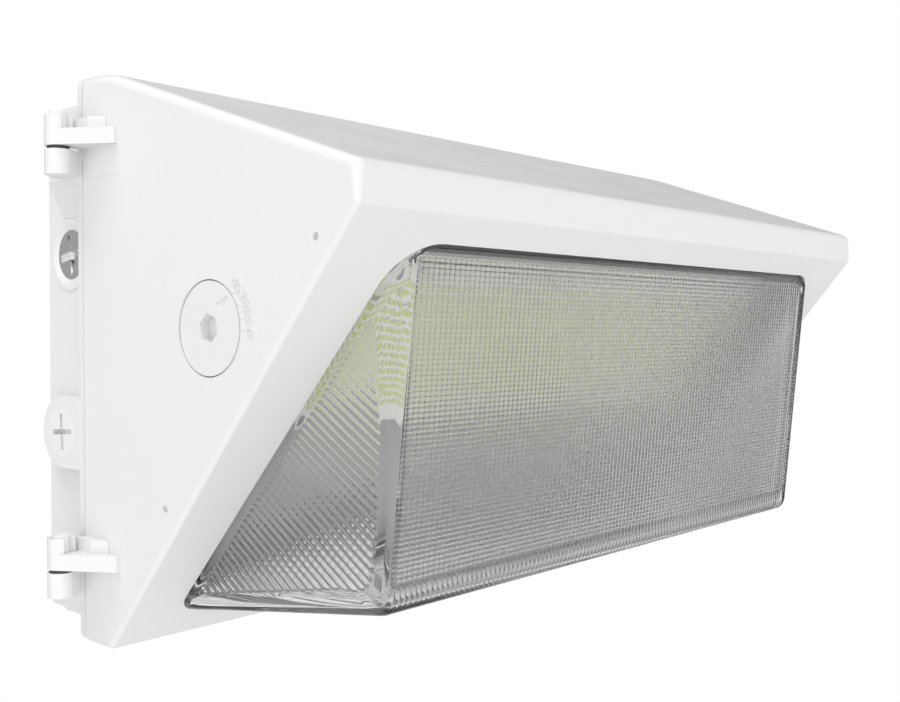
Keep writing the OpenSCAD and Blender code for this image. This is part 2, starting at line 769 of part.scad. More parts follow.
module driver_leads() color("black") for (i = [0:lead_count - 1]) {
    bend_x = lead_x(i) - lead_bend;
    translate([0, lead_y, lead_z(i)]) rod_x(lead_start, bend_x + skin, lead_r);
    translate([bend_x, lead_y, lead_z(i) - lead_bend]) rotate([90, 0, 0])
        rotate_extrude(angle = 90) translate([lead_bend, 0]) circle(lead_r);
    translate([lead_x(i), lead_y, block_top - lead_pitch / 2])
        cylinder(h = lead_z(i) - lead_bend - block_top + lead_pitch / 2 + skin, r = lead_r);
}

module component_screws() color("silver") for (h = part_holes)
    translate([h[0], -back_t - stand_h - tab_t, h[1]]) rotate([90, 0, 0]) small_screw();

module ground_screw() color("seagreen")
    translate([ground_at[0], -back_t - 2 * stand_h, ground_at[1]]) rotate([90, 0, 0])
        screw(stand_r, small_head_h, small_r, small_len);

// Front housing

mark_hole_r = 1.5;
mark_hole_d = 1.5;
// Side holes as shares of [cover depth, housing height]
mark_hole_shares = [[0.88, 0.688], [0.364, 0.261]];

module front_housing() color("white") difference() {
    union() {
        difference() {
            intersection() {
                cover_body(0, edge_r);
                block([-housing_w, front_y - housing_h, -housing_h], [housing_w, cover_y, housing_h]);
            }
            intersection() {
                cover_body(wall, inner_r);
                block([-housing_w, front_y - housing_h, -housing_h],
                    [housing_w, cover_y - land_d, housing_h]);
            }
            plate_y(cover_y - land_d - over, cover_y + over, 2 * (cover_half(cover_y) - land_w),
                housing_h - 2 * land_w, inner_r);
        }
        for (z = split_z) cover_knuckle(z);
        closing_lug(cover_y - lug_front_t, cover_y);
        // Dial boss and pivot boss inside the sides
        translate([0, dial_y, dial_z]) {
            rod_x(-dial_floor_x - over, -dial_boss_end, dial_boss_r);
            rod_x(pivot_boss_end, cover_half(dial_y) - wall / 2, pivot_boss_r);
        }
        for (c = clips) at_clip(c) rod_y(-flange_back + wall - over / 2, 0, post_r);
        for (s = [-1, 1], z = pan_block_z) pan_seat(s, z);
    }
    at_bezel() slab(wall + over, wall + 2 * over) opening(0);
    // Dial recess, bush seat and O-ring seat
    translate([0, dial_y, dial_z]) {
        rod_x(-dial_face_x - over, -dial_floor_x, dial_r + dial_gap);
        rod_x(-dial_floor_x - over, -dial_floor_x + o_ring_seat, o_ring_seat_r);
        rod_x(-dial_floor_x - over, -dial_boss_end + over, shaft_r + bush_wall + fit_gap);
        rod_x(pivot_boss_end - over, pivot_boss_end + dial_boss_l, pivot_r + fit_gap);
    }
    for (c = clips) at_clip(c) rod_y(-small_len, over, small_r + fit_gap);
    for (s = [-1, 1], z = pan_block_z) translate([s * pan_screw_x, 0, z])
        rod_y(pan_y(z) - pan_t - small_len, pan_y(z) + over, small_r + fit_gap);
    for (z = split_z) {
        translate([hinge_x, hinge_y, z - over])
            cylinder(h = cover_knuckle_h + knuckle_gap + over, r = pin_r + run_gap);
        translate([lug_x, 0, z]) rod_y(cover_y - lug_front_t - over, cover_y + over, closer_r + closer_gap);
    }
    for (m = mark_hole_shares) {
        m_y = rim_y - m[0] * cover_d;
        translate([0, m_y, up(m[1] * housing_h)])
            rod_x(-cover_half(m_y) - over, -cover_half(m_y) + mark_hole_d, mark_hole_r);
    }
}

function pan_y(z) = z > pan_step_high ? pan_high_y : pan_low_y;
pivot_boss_end = arm_x + arm_t + pivot_bush_rim_t + part_gap;

// Block on the inside of a side wall that carries the pan
module pan_seat(s, z) {
    seat_y = pan_y(z) - pan_t;
    inner_x = pan_screw_x - 2 * small_r - over;
    outer_x = cover_half(seat_y - pan_block) - wall / 2;
    block([s > 0 ? inner_x : -outer_x, seat_y - pan_block, z - pan_block / 2],
        [s > 0 ? outer_x : -inner_x, seat_y, z + pan_block / 2]);
}

module lens() color([0.8, 0.85, 0.85, 0.6]) difference() {
    union() {
        lens_form(0, flange_back);
        at_bezel() slab(flange_back, flange_t) opening(flange_over);
    }
    lens_form(lens_t, flange_back + over);
}

module lens_gasket() color("gray") at_bezel() difference() {
    slab(flange_front, lens_gasket_t) opening(over + lens_gasket_w);
    slab(flange_front + over, lens_gasket_t + 2 * over) opening(over);
}

module lens_clips() color("silver") for (c = clips) at_clip(c) difference() {
    block([-post_r, 0, -clip_w / 2], [post_r + post_gap + clip_reach, clip_t, clip_w / 2]);
    rod_y(-over, clip_t + over, small_r + fit_gap);
}

module clip_screws() color("silver") for (c = clips) at_clip(c)
    translate([0, clip_t, 0]) rotate([-90, 0, 0]) small_screw();

module closing_screws() color("silver") for (z = split_z)
    translate([lug_x, cover_y - lug_front_t - closer_out, z]) rotate([90, 0, 0])
        screw(closer_head_r, closer_head_h, closer_r, closer_len);

module closing_washers() color("dimgray") for (z = split_z)
    translate([lug_x, cover_y - lug_front_t, z]) difference() {
        rod_y(-washer_t, 0, closer_head_r + over);
        rod_y(-washer_t - over, over, closer_r + fit_gap);
    }

module reflector_pan() color("gainsboro") difference() {
    translate([-pan_half_w, 0, 0]) rotate([90, 0, 90]) linear_extrude(2 * pan_half_w)
        polygon([[pan_low_y - pan_lip, pan_bottom], [pan_low_y, pan_bottom],
            [pan_low_y, pan_step_low], [pan_high_y, pan_step_high], [pan_high_y, pan_top],
            [pan_high_y - pan_t, pan_top], [pan_high_y - pan_t, pan_step_high - pan_t / 2],
            [pan_low_y - pan_t, pan_step_low - pan_t / 2], [pan_low_y - pan_t, pan_bottom + pan_t],
            [pan_low_y - pan_lip, pan_bottom + pan_t]]);
    for (s = [-1, 1], z = pan_block_z) translate([s * pan_screw_x, 0, z])
        rod_y(pan_y(z) - pan_t - over, pan_y(z) + over, small_r + fit_gap);
}

module pan_screws() color("silver") for (s = [-1, 1], z = pan_block_z)
    translate([s * pan_screw_x, pan_y(z), z]) rotate([-90, 0, 0]) small_screw();

module dial_bush() color("ivory") translate([0, dial_y, dial_z]) difference() {
    rod_x(-dial_floor_x + o_ring_seat, -dial_boss_end, shaft_r + bush_wall);
    rod_x(-dial_floor_x, -dial_boss_end + over, shaft_r + run_gap);
}

// Shoulder pin from inside through the right arm's bush into the boss
module pivot_pin() color("silver") translate([0, dial_y, dial_z]) {
    pin_head = arm_x - pivot_bush_rim_t - part_gap - pivot_head_h;
    difference() {
        rod_x(pin_head, pin_head + pivot_head_h, pivot_head_r);
        for (a = [0, 90]) rotate([a, 0, 0])
            block([pin_head - over, -pivot_r, -skin - over / 2], [pin_head + over, pivot_r, over / 2]);
    }
    rod_x(pin_head + pivot_head_h - skin, pivot_boss_end + dial_boss_l - over, pivot_r);
}

// Tilting parts

module tilt_dial() color("white") translate([0, dial_y, dial_z]) difference() {
    union() {
        rod_x(-dial_face_x, -dial_face_x + dial_t, dial_r);
        difference() {
            rod_x(-dial_face_x + skin, -arm_x - arm_t, shaft_r);
            difference() {
                rod_x(-groove_x, -groove_x + circlip_t, shaft_r + over);
                rod_x(-groove_x - over, -groove_x + circlip_t + over, shaft_r - circlip_groove);
            }
        }
        block([-arm_x - arm_t - over, -stub_side / 2, -stub_side / 2], [-arm_x, stub_side / 2, stub_side / 2]);
        rod_x(-arm_x - skin, -arm_x + nut_t + 2 * over, thread_r);
    }
    rotate([-hex_turn, 0, 0]) rotate([0, 90, 0]) translate([0, 0, -dial_face_x - over])
        cylinder(h = hex_deep + over, r = hex_af / 2 / cos(30), $fn = 6);
    // Pointer sunk into the head, its tip near the edge
    rotate([-rest_tilt, 0, 0]) translate([-dial_face_x + pointer_d, pointer_l - pointer_tip, 0])
        rotate([0, -90, 0]) linear_extrude(over)
            polygon([[0, -pointer_l], [-pointer_w / 2, 0], [pointer_w / 2, 0]]);
}

hex_turn = 12;
pointer_l = 6.7;
pointer_w = 5.9;
pointer_d = 0.4;
pointer_tip = dial_r - over;
groove_x = dial_boss_end - part_gap;

module dial_o_ring() color("black") translate([-dial_floor_x + o_ring_r + part_gap, dial_y, dial_z])
    rotate([0, 90, 0]) rotate_extrude() translate([shaft_r + o_ring_r + fit_gap, 0]) circle(o_ring_r);

module dial_circlip() color("dimgray") translate([0, dial_y, dial_z]) difference() {
    rod_x(-groove_x + fit_gap, -groove_x + circlip_t - fit_gap, circlip_r);
    rod_x(-groove_x - over, -groove_x + circlip_t + over, shaft_r - circlip_groove + fit_gap);
    block([-groove_x - over, -circlip_groove, 0], [-groove_x + 2 * circlip_t, circlip_groove, circlip_r + over]);
}

module dial_nut() color("silver") translate([-arm_x, dial_y, dial_z]) rotate([0, 90, 0]) difference() {
    cylinder(h = nut_t, r = nut_af / 2 / cos(30), $fn = 6);
    translate([0, 0, -over]) cylinder(h = nut_t + 2 * over, r = thread_r + fit_gap);
}

// Bent arm: a plate across the axis and a foot on the back of the tray
module arm() translate([0, dial_y, dial_z]) rotate([-rest_tilt, 0, 0]) {
    difference() {
        union() {
            rod_x(arm_x, arm_x + arm_t, arm_w / 2);
            block([arm_x, -arm_w / 2, -tray_back], [arm_x + arm_t, arm_w / 2, 0]);
        }
        block([arm_x - over, -arm_w, -tray_back - arm_w], [arm_x + arm_t + over, arm_w, -tray_back]);
    }
    difference() {
        block([arm_x - arm_foot_in, -arm_w / 2, -tray_back], [arm_x + skin, arm_w / 2, -tray_back + arm_t]);
        for (sy = [-1, 1]) translate([arm_screw_x, sy * arm_w / 4, -tray_back - over])
            cylinder(h = arm_t + 2 * over, r = small_r + fit_gap);
        // Room for the nut, or for the head of the pivot pin
        rod_x(arm_x - arm_relief_l, arm_x, arm_relief_r);
    }
}

module left_arm() color("silver") difference() {
    mirror([1, 0, 0]) arm();
    translate([-arm_x - arm_t - over, dial_y, dial_z])
        block([0, -stub_side / 2 - fit_gap, -stub_side / 2 - fit_gap],
            [arm_t + 2 * over, stub_side / 2 + fit_gap, stub_side / 2 + fit_gap]);
}

module right_arm() color("silver") difference() {
    arm();
    translate([0, dial_y, dial_z]) rod_x(arm_x - over, arm_x + arm_t + over, pivot_bush_r + fit_gap);
}

module arm_screws() color("silver") both_sides() at_tilt() for (sy = [-1, 1])
    translate([arm_screw_x, sy * arm_w / 4, -tray_back + arm_t])
        screw(small_head_r, small_head_h, small_r, arm_t + tray_t - part_gap);

module pivot_bush() color("ivory") translate([0, dial_y, dial_z]) difference() {
    union() {
        rod_x(arm_x - pivot_bush_rim_t, arm_x + arm_t + pivot_bush_rim_t, pivot_bush_r);
        rod_x(arm_x - pivot_bush_rim_t, arm_x, pivot_bush_rim_r);
        rod_x(arm_x + arm_t, arm_x + arm_t + pivot_bush_rim_t, pivot_bush_rim_r);
    }
    rod_x(arm_x - 2 * pivot_bush_rim_t, arm_x + arm_t + 2 * pivot_bush_rim_t, pivot_r + run_gap);
}

fin_zone = tray_half_w - (arm_foot_in + tray_half_w - arm_x) - fin_t;
fin_count = floor(fin_zone / fin_pitch);

module led_tray() color("white") at_tilt() difference() {
    union() {
        block([-tray_half_w, -tray_half_h, -tray_front], [tray_half_w, tray_half_h, -tray_back]);
        for (i = [-fin_count:fin_count]) translate([i * fin_pitch, 0, 0])
            block([-fin_t / 2, -board_h / 2, -tray_back - skin], [fin_t / 2, board_h / 2, -tray_back + fin_h]);
    }
    for (sx = [-1, 1], sy = [-1, 1]) translate([sx * arm_screw_x, sy * arm_w / 4, -tray_front - over])
        cylinder(h = tray_t + 2 * over, r = small_r + fit_gap);
    for (p = board_holes) translate([p[0], p[1], -tray_front - over])
        cylinder(h = tray_t + 2 * over, r = small_r + fit_gap);
}

// Board screws stand in the bare border above and below the chips
board_hole_shares = [-0.47, -0.16, 0.16, 0.47];
border_y = (board_h - border_h) / 2;
board_holes = [for (k = board_hole_shares, sy = [-1, 1]) [k * board_w, sy * border_y]];

module led_board() color("gainsboro") at_tilt() difference() {
    block([-board_w / 2, -board_h / 2, -board_out], [board_w / 2, board_h / 2, -board_back]);
    for (p = board_holes) translate([p[0], p[1], -board_out - over])
        cylinder(h = board_t + 2 * over, r = small_r + fit_gap);
    for (sx = [-1, 1], sy = [-1, 1]) translate([sx * arm_screw_x, sy * arm_w / 4, -board_out - over])
        cylinder(h = board_t + 2 * over, r = small_r + fit_gap);
}

module led_chips() color("khaki") at_tilt() for (i = [0:chip_rows - 1])
    translate([0, (i - (chip_rows - 1) / 2) * row_pitch, -board_out])
        block([-board_w / 2 + chip_t, -chip_h / 2, -chip_t], [board_w / 2 - chip_t, chip_h / 2, 0]);

module board_screws() color("silver") at_tilt() for (p = board_holes)
    translate([p[0], p[1], -board_out]) rotate([180, 0, 0])
        screw(small_head_r, small_head_h / 2, small_r, board_t + tray_t - part_gap);

rear_housing();
wall_gasket();
door_gasket();
conduit_plug();
port_plug();
hinge_pins();
hinge_washers();
led_driver();
surge_protector();
terminal_block();
component_screws();
driver_leads();
ground_screw();
front_housing();
lens();
lens_gasket();
lens_clips();
clip_screws();
closing_screws();
closing_washers();
reflector_pan();
pan_screws();
dial_bush();
pivot_pin();
tilt_dial();
dial_o_ring();
dial_circlip();
dial_nut();
left_arm();
right_arm();
arm_screws();
pivot_bush();
led_tray();
led_board();
led_chips();
board_screws();
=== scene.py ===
import bpy
import bmesh
import math
import numpy as np
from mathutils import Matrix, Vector


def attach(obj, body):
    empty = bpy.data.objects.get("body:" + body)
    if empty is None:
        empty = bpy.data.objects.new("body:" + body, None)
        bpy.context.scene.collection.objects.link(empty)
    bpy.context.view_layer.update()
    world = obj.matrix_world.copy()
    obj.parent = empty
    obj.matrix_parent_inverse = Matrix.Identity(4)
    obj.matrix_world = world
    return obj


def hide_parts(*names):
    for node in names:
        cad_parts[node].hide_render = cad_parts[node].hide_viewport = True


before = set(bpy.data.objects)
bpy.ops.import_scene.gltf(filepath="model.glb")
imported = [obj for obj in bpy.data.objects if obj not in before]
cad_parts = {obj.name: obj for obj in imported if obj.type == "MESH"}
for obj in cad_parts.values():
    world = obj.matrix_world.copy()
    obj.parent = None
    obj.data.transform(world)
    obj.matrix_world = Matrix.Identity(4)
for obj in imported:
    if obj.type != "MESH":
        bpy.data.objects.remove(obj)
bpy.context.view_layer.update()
print("frame loaded,", len(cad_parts), "nodes")

mm = 0.001
samePoint = 0.001 * mm  # points closer than this are one
tiny = 1e-6  # keeps divisors and roots off zero
noiseSpan = (0.3, 0.7)  # nearly all values of a noise texture lie in it


def linear(code):  # sRGB hex colour to linear
    parts = [int(code[i:i + 2], 16) / 255 for i in (1, 3, 5)]
    return [p / 12.92 if p <= 0.04045 else ((p + 0.055) / 1.055) ** 2.4 for p in parts] + [1.0]


def addNode(tree, kind, settings=None, links=None):  # a node, its settings, then what feeds it
    node = tree.nodes.new(kind)
    for key, value in (settings or {}).items():
        if isinstance(key, int) or key in node.inputs:
            node.inputs[key].default_value = value
        else:
            setattr(node, key, value)
    for socket, source in (links or {}).items():
        tree.links.new(source, node.inputs[socket])
    return node


# What the light is made of

def startMaterial(name):
    material = bpy.data.materials.new(name)
    material.use_nodes = True
    tree = material.node_tree
    tree.nodes.clear()
    coords = addNode(tree, "ShaderNodeTexCoord").outputs["Object"]
    return material, tree, coords


def endMaterial(tree, shader):
    addNode(tree, "ShaderNodeOutputMaterial", links={"Surface": shader.outputs[0]})


# A plain finish: two close colours, a slow mottle, a fine grain in the surface
def plainFinish(name, look):
    material, tree, coords = startMaterial(name)
    if "stretch" in look:  # turned, drawn or brushed: the grain is longer one way
        coords = addNode(tree, "ShaderNodeMapping", {"Scale": look["stretch"]},
                         {"Vector": coords}).outputs["Vector"]
    mottle, grain = [addNode(tree, "ShaderNodeTexNoise", {"Scale": 1 / (size * mm), "Detail": detail},
                             {"Vector": coords}).outputs["Fac"]
                     for size, detail in ((look["mottleMm"], 3.0), (look["grainMm"], 2.0))]
    tint = addNode(tree, "ShaderNodeMix", {"data_type": "RGBA", 6: linear(look["colours"][0]),
                                           7: linear(look["colours"][1])}, {0: mottle})
    gloss = addNode(tree, "ShaderNodeMapRange", {"From Min": noiseSpan[0], "From Max": noiseSpan[1],
                    "To Min": look["rough"][0], "To Max": look["rough"][1]}, {"Value": mottle})
    bump = addNode(tree, "ShaderNodeBump", {"Strength": look["bump"], "Distance": look["depthMm"] * mm},
                   {"Height": grain})
    shader = addNode(tree, "ShaderNodeBsdfPrincipled",
                     {"Metallic": look.get("metallic", 0.0)},
                     {"Base Color": tint.outputs[2], "Roughness": gloss.outputs["Result"],
                      "Normal": bump.outputs["Normal"]})
    endMaterial(tree, shader)
    return material


# Polyester powder coat on die-cast aluminium, satin: a soft skin with a faint orange peel
powderCoat = plainFinish("powder_coat_white", {
    "colours": ("#dededd", "#dadad9"), "mottleMm": 35, "grainMm": 1.3, "bump": 0.10, "depthMm": 0.05,
    "rough": (0.38, 0.46)})
# The same coat on the small pins and the lower plug, a little glossier
coatedTrim = plainFinish("powder_coat_trim", {
    "colours": ("#e2e2e1", "#dededd"), "mottleMm": 12, "grainMm": 1.0, "bump": 0.08, "depthMm": 0.04,
    "rough": (0.34, 0.42)})
# Closed-cell foam rubber: dull, dark, full of small pores
foamRubber = plainFinish("foam_rubber", {
    "colours": ("#38393a", "#2c2d2e"), "mottleMm": 3, "grainMm": 0.5, "bump": 0.8, "depthMm": 0.25,
    "rough": (0.85, 0.95)})
# Moulded silicone: matt white with a waxy skin
siliconeSeal = plainFinish("silicone_seal", {
    "colours": ("#dededc", "#d4d4d2"), "mottleMm": 8, "grainMm": 0.9, "bump": 0.15, "depthMm": 0.05,
    "rough": (0.55, 0.65)})
# Chrome-plated zinc: bright, nearly a mirror, with a slight haze
plugChrome = plainFinish("plug_chrome", {
    "colours": ("#e8e8e8", "#dfdfdf"), "mottleMm": 4, "grainMm": 1.5, "bump": 0.05, "depthMm": 0.03,
    "rough": (0.16, 0.26), "metallic": 1.0})
# Acetal of the hinge washers, coloured near-black as a painted shade for the dark gap between the knuckles
washerPaintedShade = plainFinish("washer_acetal_painted_shade", {
    "colours": ("#3a3a3b", "#303031"), "mottleMm": 5, "grainMm": 0.6, "bump": 0.1, "depthMm": 0.03,
    "rough": (0.40, 0.50)})
# Natural polyamide and acetal: warm white, slightly waxy
mouldedNylon = plainFinish("moulded_nylon", {
    "colours": ("#e9e4d4", "#e2dcc9"), "mottleMm": 6, "grainMm": 0.7, "bump": 0.12, "depthMm": 0.04,
    "rough": (0.42, 0.52)})
# Drawn aluminium can of the driver: faint lines along its length
driverCan = plainFinish("driver_can", {
    "colours": ("#cfd0d1", "#bfc1c3"), "mottleMm": 9, "grainMm": 0.6, "bump": 0.25, "depthMm": 0.04,
    "rough": (0.30, 0.42), "metallic": 1.0, "stretch": (0.12, 1, 1)})
# Black polycarbonate case with a spark-eroded texture
darkCase = plainFinish("dark_case", {
    "colours": ("#26272a", "#2d2e31"), "mottleMm": 10, "grainMm": 0.45, "bump": 0.5, "depthMm": 0.08,
    "rough": (0.48, 0.60)})
# Zinc-plated steel: cool grey, cloudy gloss
zincSteel = plainFinish("zinc_steel", {
    "colours": ("#c8c8c8", "#b1b2b2"), "mottleMm": 3, "grainMm": 0.5, "bump": 0.15, "depthMm": 0.03,
    "rough": (0.25, 0.40), "metallic": 1.0})
# Extruded PVC sleeve: smooth, slightly glossy black
leadSleeve = plainFinish("lead_sleeve", {
    "colours": ("#1b1b1c", "#242425"), "mottleMm": 5, "grainMm": 0.8, "bump": 0.08, "depthMm": 0.03,
    "rough": (0.35, 0.45)})
# Green passivated earth screw
groundGreen = plainFinish("ground_green", {
    "colours": ("#3f8d4f", "#2f7a42"), "mottleMm": 2, "grainMm": 0.5, "bump": 0.15, "depthMm": 0.03,
    "rough": (0.28, 0.38), "metallic": 0.6})
# Nitrile rubber: black, soft gloss
darkRubber = plainFinish("dark_rubber", {
    "colours": ("#1f2021", "#29292a"), "mottleMm": 5, "grainMm": 0.6, "bump": 0.2, "depthMm": 0.05,
    "rough": (0.55, 0.68)})
# Baked enamel on the steel pan, a little glossier than the housing: grey-white, its grey partly painted shade
# for the dim inside of the cover
panEnamelPaintedShade = plainFinish("pan_enamel_painted_shade", {
    "colours": ("#c5c5c5", "#bdbdbd"), "mottleMm": 40, "grainMm": 2.0, "bump": 0.08, "depthMm": 0.05,
    "rough": (0.32, 0.42)})
# Phosphated spring steel: dark grey, dry
springSteel = plainFinish("spring_steel", {
    "colours": ("#4c4d50", "#3c3d40"), "mottleMm": 2, "grainMm": 0.4, "bump": 0.2, "depthMm": 0.02,
    "rough": (0.42, 0.55), "metallic": 0.85})
# Cold-rolled, zinc-plated sheet of the arms: rolling lines across the bend
armSteel = plainFinish("arm_steel", {
    "colours": ("#cbcbcb", "#b6b7b7"), "mottleMm": 8, "grainMm": 0.5, "bump": 0.2, "depthMm": 0.03,
    "rough": (0.30, 0.42), "metallic": 1.0, "stretch": (1, 0.15, 0.15)})
# Extruded aluminium of the light tray, natural: fine die lines along the fins
trayAluminium = plainFinish("tray_aluminium", {
    "colours": ("#d7d7d7", "#c8c9c9"), "mottleMm": 12, "grainMm": 0.5, "bump": 0.25, "depthMm": 0.04,
    "rough": (0.32, 0.45), "metallic": 1.0, "stretch": (1, 0.12, 0.12)})
# White solder mask on the metal-core board: even, low gloss
solderMask = plainFinish("solder_mask", {
    "colours": ("#f4f4f2", "#efefec"), "mottleMm": 14, "grainMm": 0.8, "bump": 0.1, "depthMm": 0.03,
    "rough": (0.35, 0.45)})
# White thermoplastic chip body
chipBody = plainFinish("chip_body", {
    "colours": ("#e6e4d8", "#dedccd"), "mottleMm": 3, "grainMm": 0.4, "bump": 0.1, "depthMm": 0.02,
    "rough": (0.35, 0.45)})
# Phosphor in clear silicone: matt yellow with a green cast, brighter grains
chipPhosphor = plainFinish("chip_phosphor", {
    "colours": ("#dfe588", "#d3da7a"), "mottleMm": 0.8, "grainMm": 0.25, "bump": 0.2, "depthMm": 0.02,
    "rough": (0.40, 0.52)})


# Pressed soda-lime glass: clear with a trace of grey-green, soft pressing waves in its skin
glassLook = {"colour": "#fdfefd", "ior": 1.5, "rough": 0.03, "waveMm": 14, "bump": 0.05, "depthMm": 0.15}


def pressedGlass(name, look=glassLook):
    material, tree, coords = startMaterial(name)
    wave = addNode(tree, "ShaderNodeTexNoise", {"Scale": 1 / (look["waveMm"] * mm), "Detail": 1.0},
                   {"Vector": coords})
    bump = addNode(tree, "ShaderNodeBump", {"Strength": look["bump"], "Distance": look["depthMm"] * mm},
                   {"Height": wave.outputs["Fac"]})
    shader = addNode(tree, "ShaderNodeBsdfPrincipled",
                     {"Transmission Weight": 1.0, "IOR": look["ior"], "Roughness": look["rough"],
                      "Base Color": linear(look["colour"])},
                     {"Normal": bump.outputs["Normal"]})
    endMaterial(tree, shader)
    return material


lensGlass = pressedGlass("pressed_glass")

# The hinge washers' near-black and the reflector pan's grey are painted shade
nodeFinish = {
    "rear_housing": powderCoat, "front_housing": powderCoat, "tilt_dial": powderCoat,
    "wall_gasket": foamRubber, "door_gasket": siliconeSeal, "lens_gasket": siliconeSeal,
    "conduit_plug": plugChrome, "port_plug": coatedTrim, "hinge_pins": coatedTrim,
    "hinge_washers": washerPaintedShade, "terminal_block": mouldedNylon, "dial_bush": mouldedNylon,
    "pivot_bush": mouldedNylon, "led_driver": driverCan, "surge_protector": darkCase,
    "component_screws": zincSteel, "clip_screws": zincSteel, "closing_screws": zincSteel,
    "pan_screws": zincSteel, "arm_screws": zincSteel, "board_screws": zincSteel,
    "lens_clips": zincSteel, "dial_nut": zincSteel, "pivot_pin": zincSteel,
    "driver_leads": leadSleeve, "ground_screw": groundGreen, "closing_washers": darkRubber,
    "dial_o_ring": darkRubber, "dial_circlip": springSteel, "reflector_pan": panEnamelPaintedShade,
    "left_arm": armSteel, "right_arm": armSteel, "led_tray": trayAluminium,
    "led_board": solderMask, "lens": lensGlass, "led_chips": chipPhosphor}
for nodeName, finish in nodeFinish.items():
    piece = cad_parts[nodeName]
    piece.data.materials.clear()
    piece.data.materials.append(finish)

# Rounds the edges of a piece where it turns by more than this many degrees
def softenEdges(piece, width, turn):
    bevel = piece.modifiers.new("soft edges", "BEVEL")
    bevel.width, bevel.segments = width * mm, 2
    bevel.limit_method, bevel.angle_limit = "ANGLE", math.radians(turn)


# Turned edges: a small round, in mm, where the photograph shows a light line along them
edgeLook = {"widths": {"conduit_plug": 0.2, "port_plug": 0.2, "tilt_dial": 0.25}, "joinMm": 0.002, "turn": 35}
for nodeName, width in edgeLook["widths"].items():
    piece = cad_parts[nodeName]
    piece.modifiers.new("joined faces", "WELD").merge_threshold = edgeLook["joinMm"] * mm
    softenEdges(piece, width, edgeLook["turn"])
print("finishes on", len(nodeFinish), "nodes, soft edges on", len(edgeLook["widths"]))


# Mesh from arrays: points in millimetres, quads and triangles, joined and turned outwards where turn is set
def makePiece(name, points, faces, materials, body, faceSlots=None, smooth=True, turn=True):
    mesh = bpy.data.meshes.new(name)
    mesh.from_pydata((np.asarray(points) * mm).tolist(), [], [f.tolist() for part in faces for f in part])
    for material in materials:
        mesh.materials.append(material)
    if faceSlots is not None:
        mesh.polygons.foreach_set("material_index", np.asarray(faceSlots, np.int32))
    if turn:
        work = bmesh.new()
        work.from_mesh(mesh)
        bmesh.ops.remove_doubles(work, verts=work.verts, dist=samePoint)
        bmesh.ops.recalc_face_normals(work, faces=work.faces)
        work.to_mesh(mesh)
        work.free()
    mesh.polygons.foreach_set("use_smooth", np.full(len(mesh.polygons), smooth))
    mesh.update()
    piece = bpy.data.objects.new(name, mesh)
    bpy.context.scene.collection.objects.link(piece)
    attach(piece, body)
    return piece


# Quads of a grid whose rows lie one after the other in the point list
def gridFaces(rows, cols, start):
    i, j = np.meshgrid(np.arange(rows - 1), np.arange(cols - 1), indexing="ij")
    a = start + i * cols + j
    return np.stack([a, a + 1, a + cols + 1, a + cols], -1).reshape(-1, 4)


# Triangles between two lines of points that run side by side, each with its own rising parameter:
# every edge of one line gets as its third point where the other line has come to by then
def zipFaces(first, firstPlace, second, secondPlace):
    j = np.searchsorted(secondPlace[1:], firstPlace[1:], side="left")
    i = np.searchsorted(firstPlace[1:], secondPlace[1:], side="right")
    one = np.stack([first[:-1], first[1:], second[np.minimum(j, len(second) - 1)]], -1)
    two = np.stack([second[1:], second[:-1], first[np.minimum(i, len(first) - 1)]], -1)
    return np.concatenate([one, two])


# The ribbed lens, in the frame of the sloped face: x across, v up the slope, n out of it

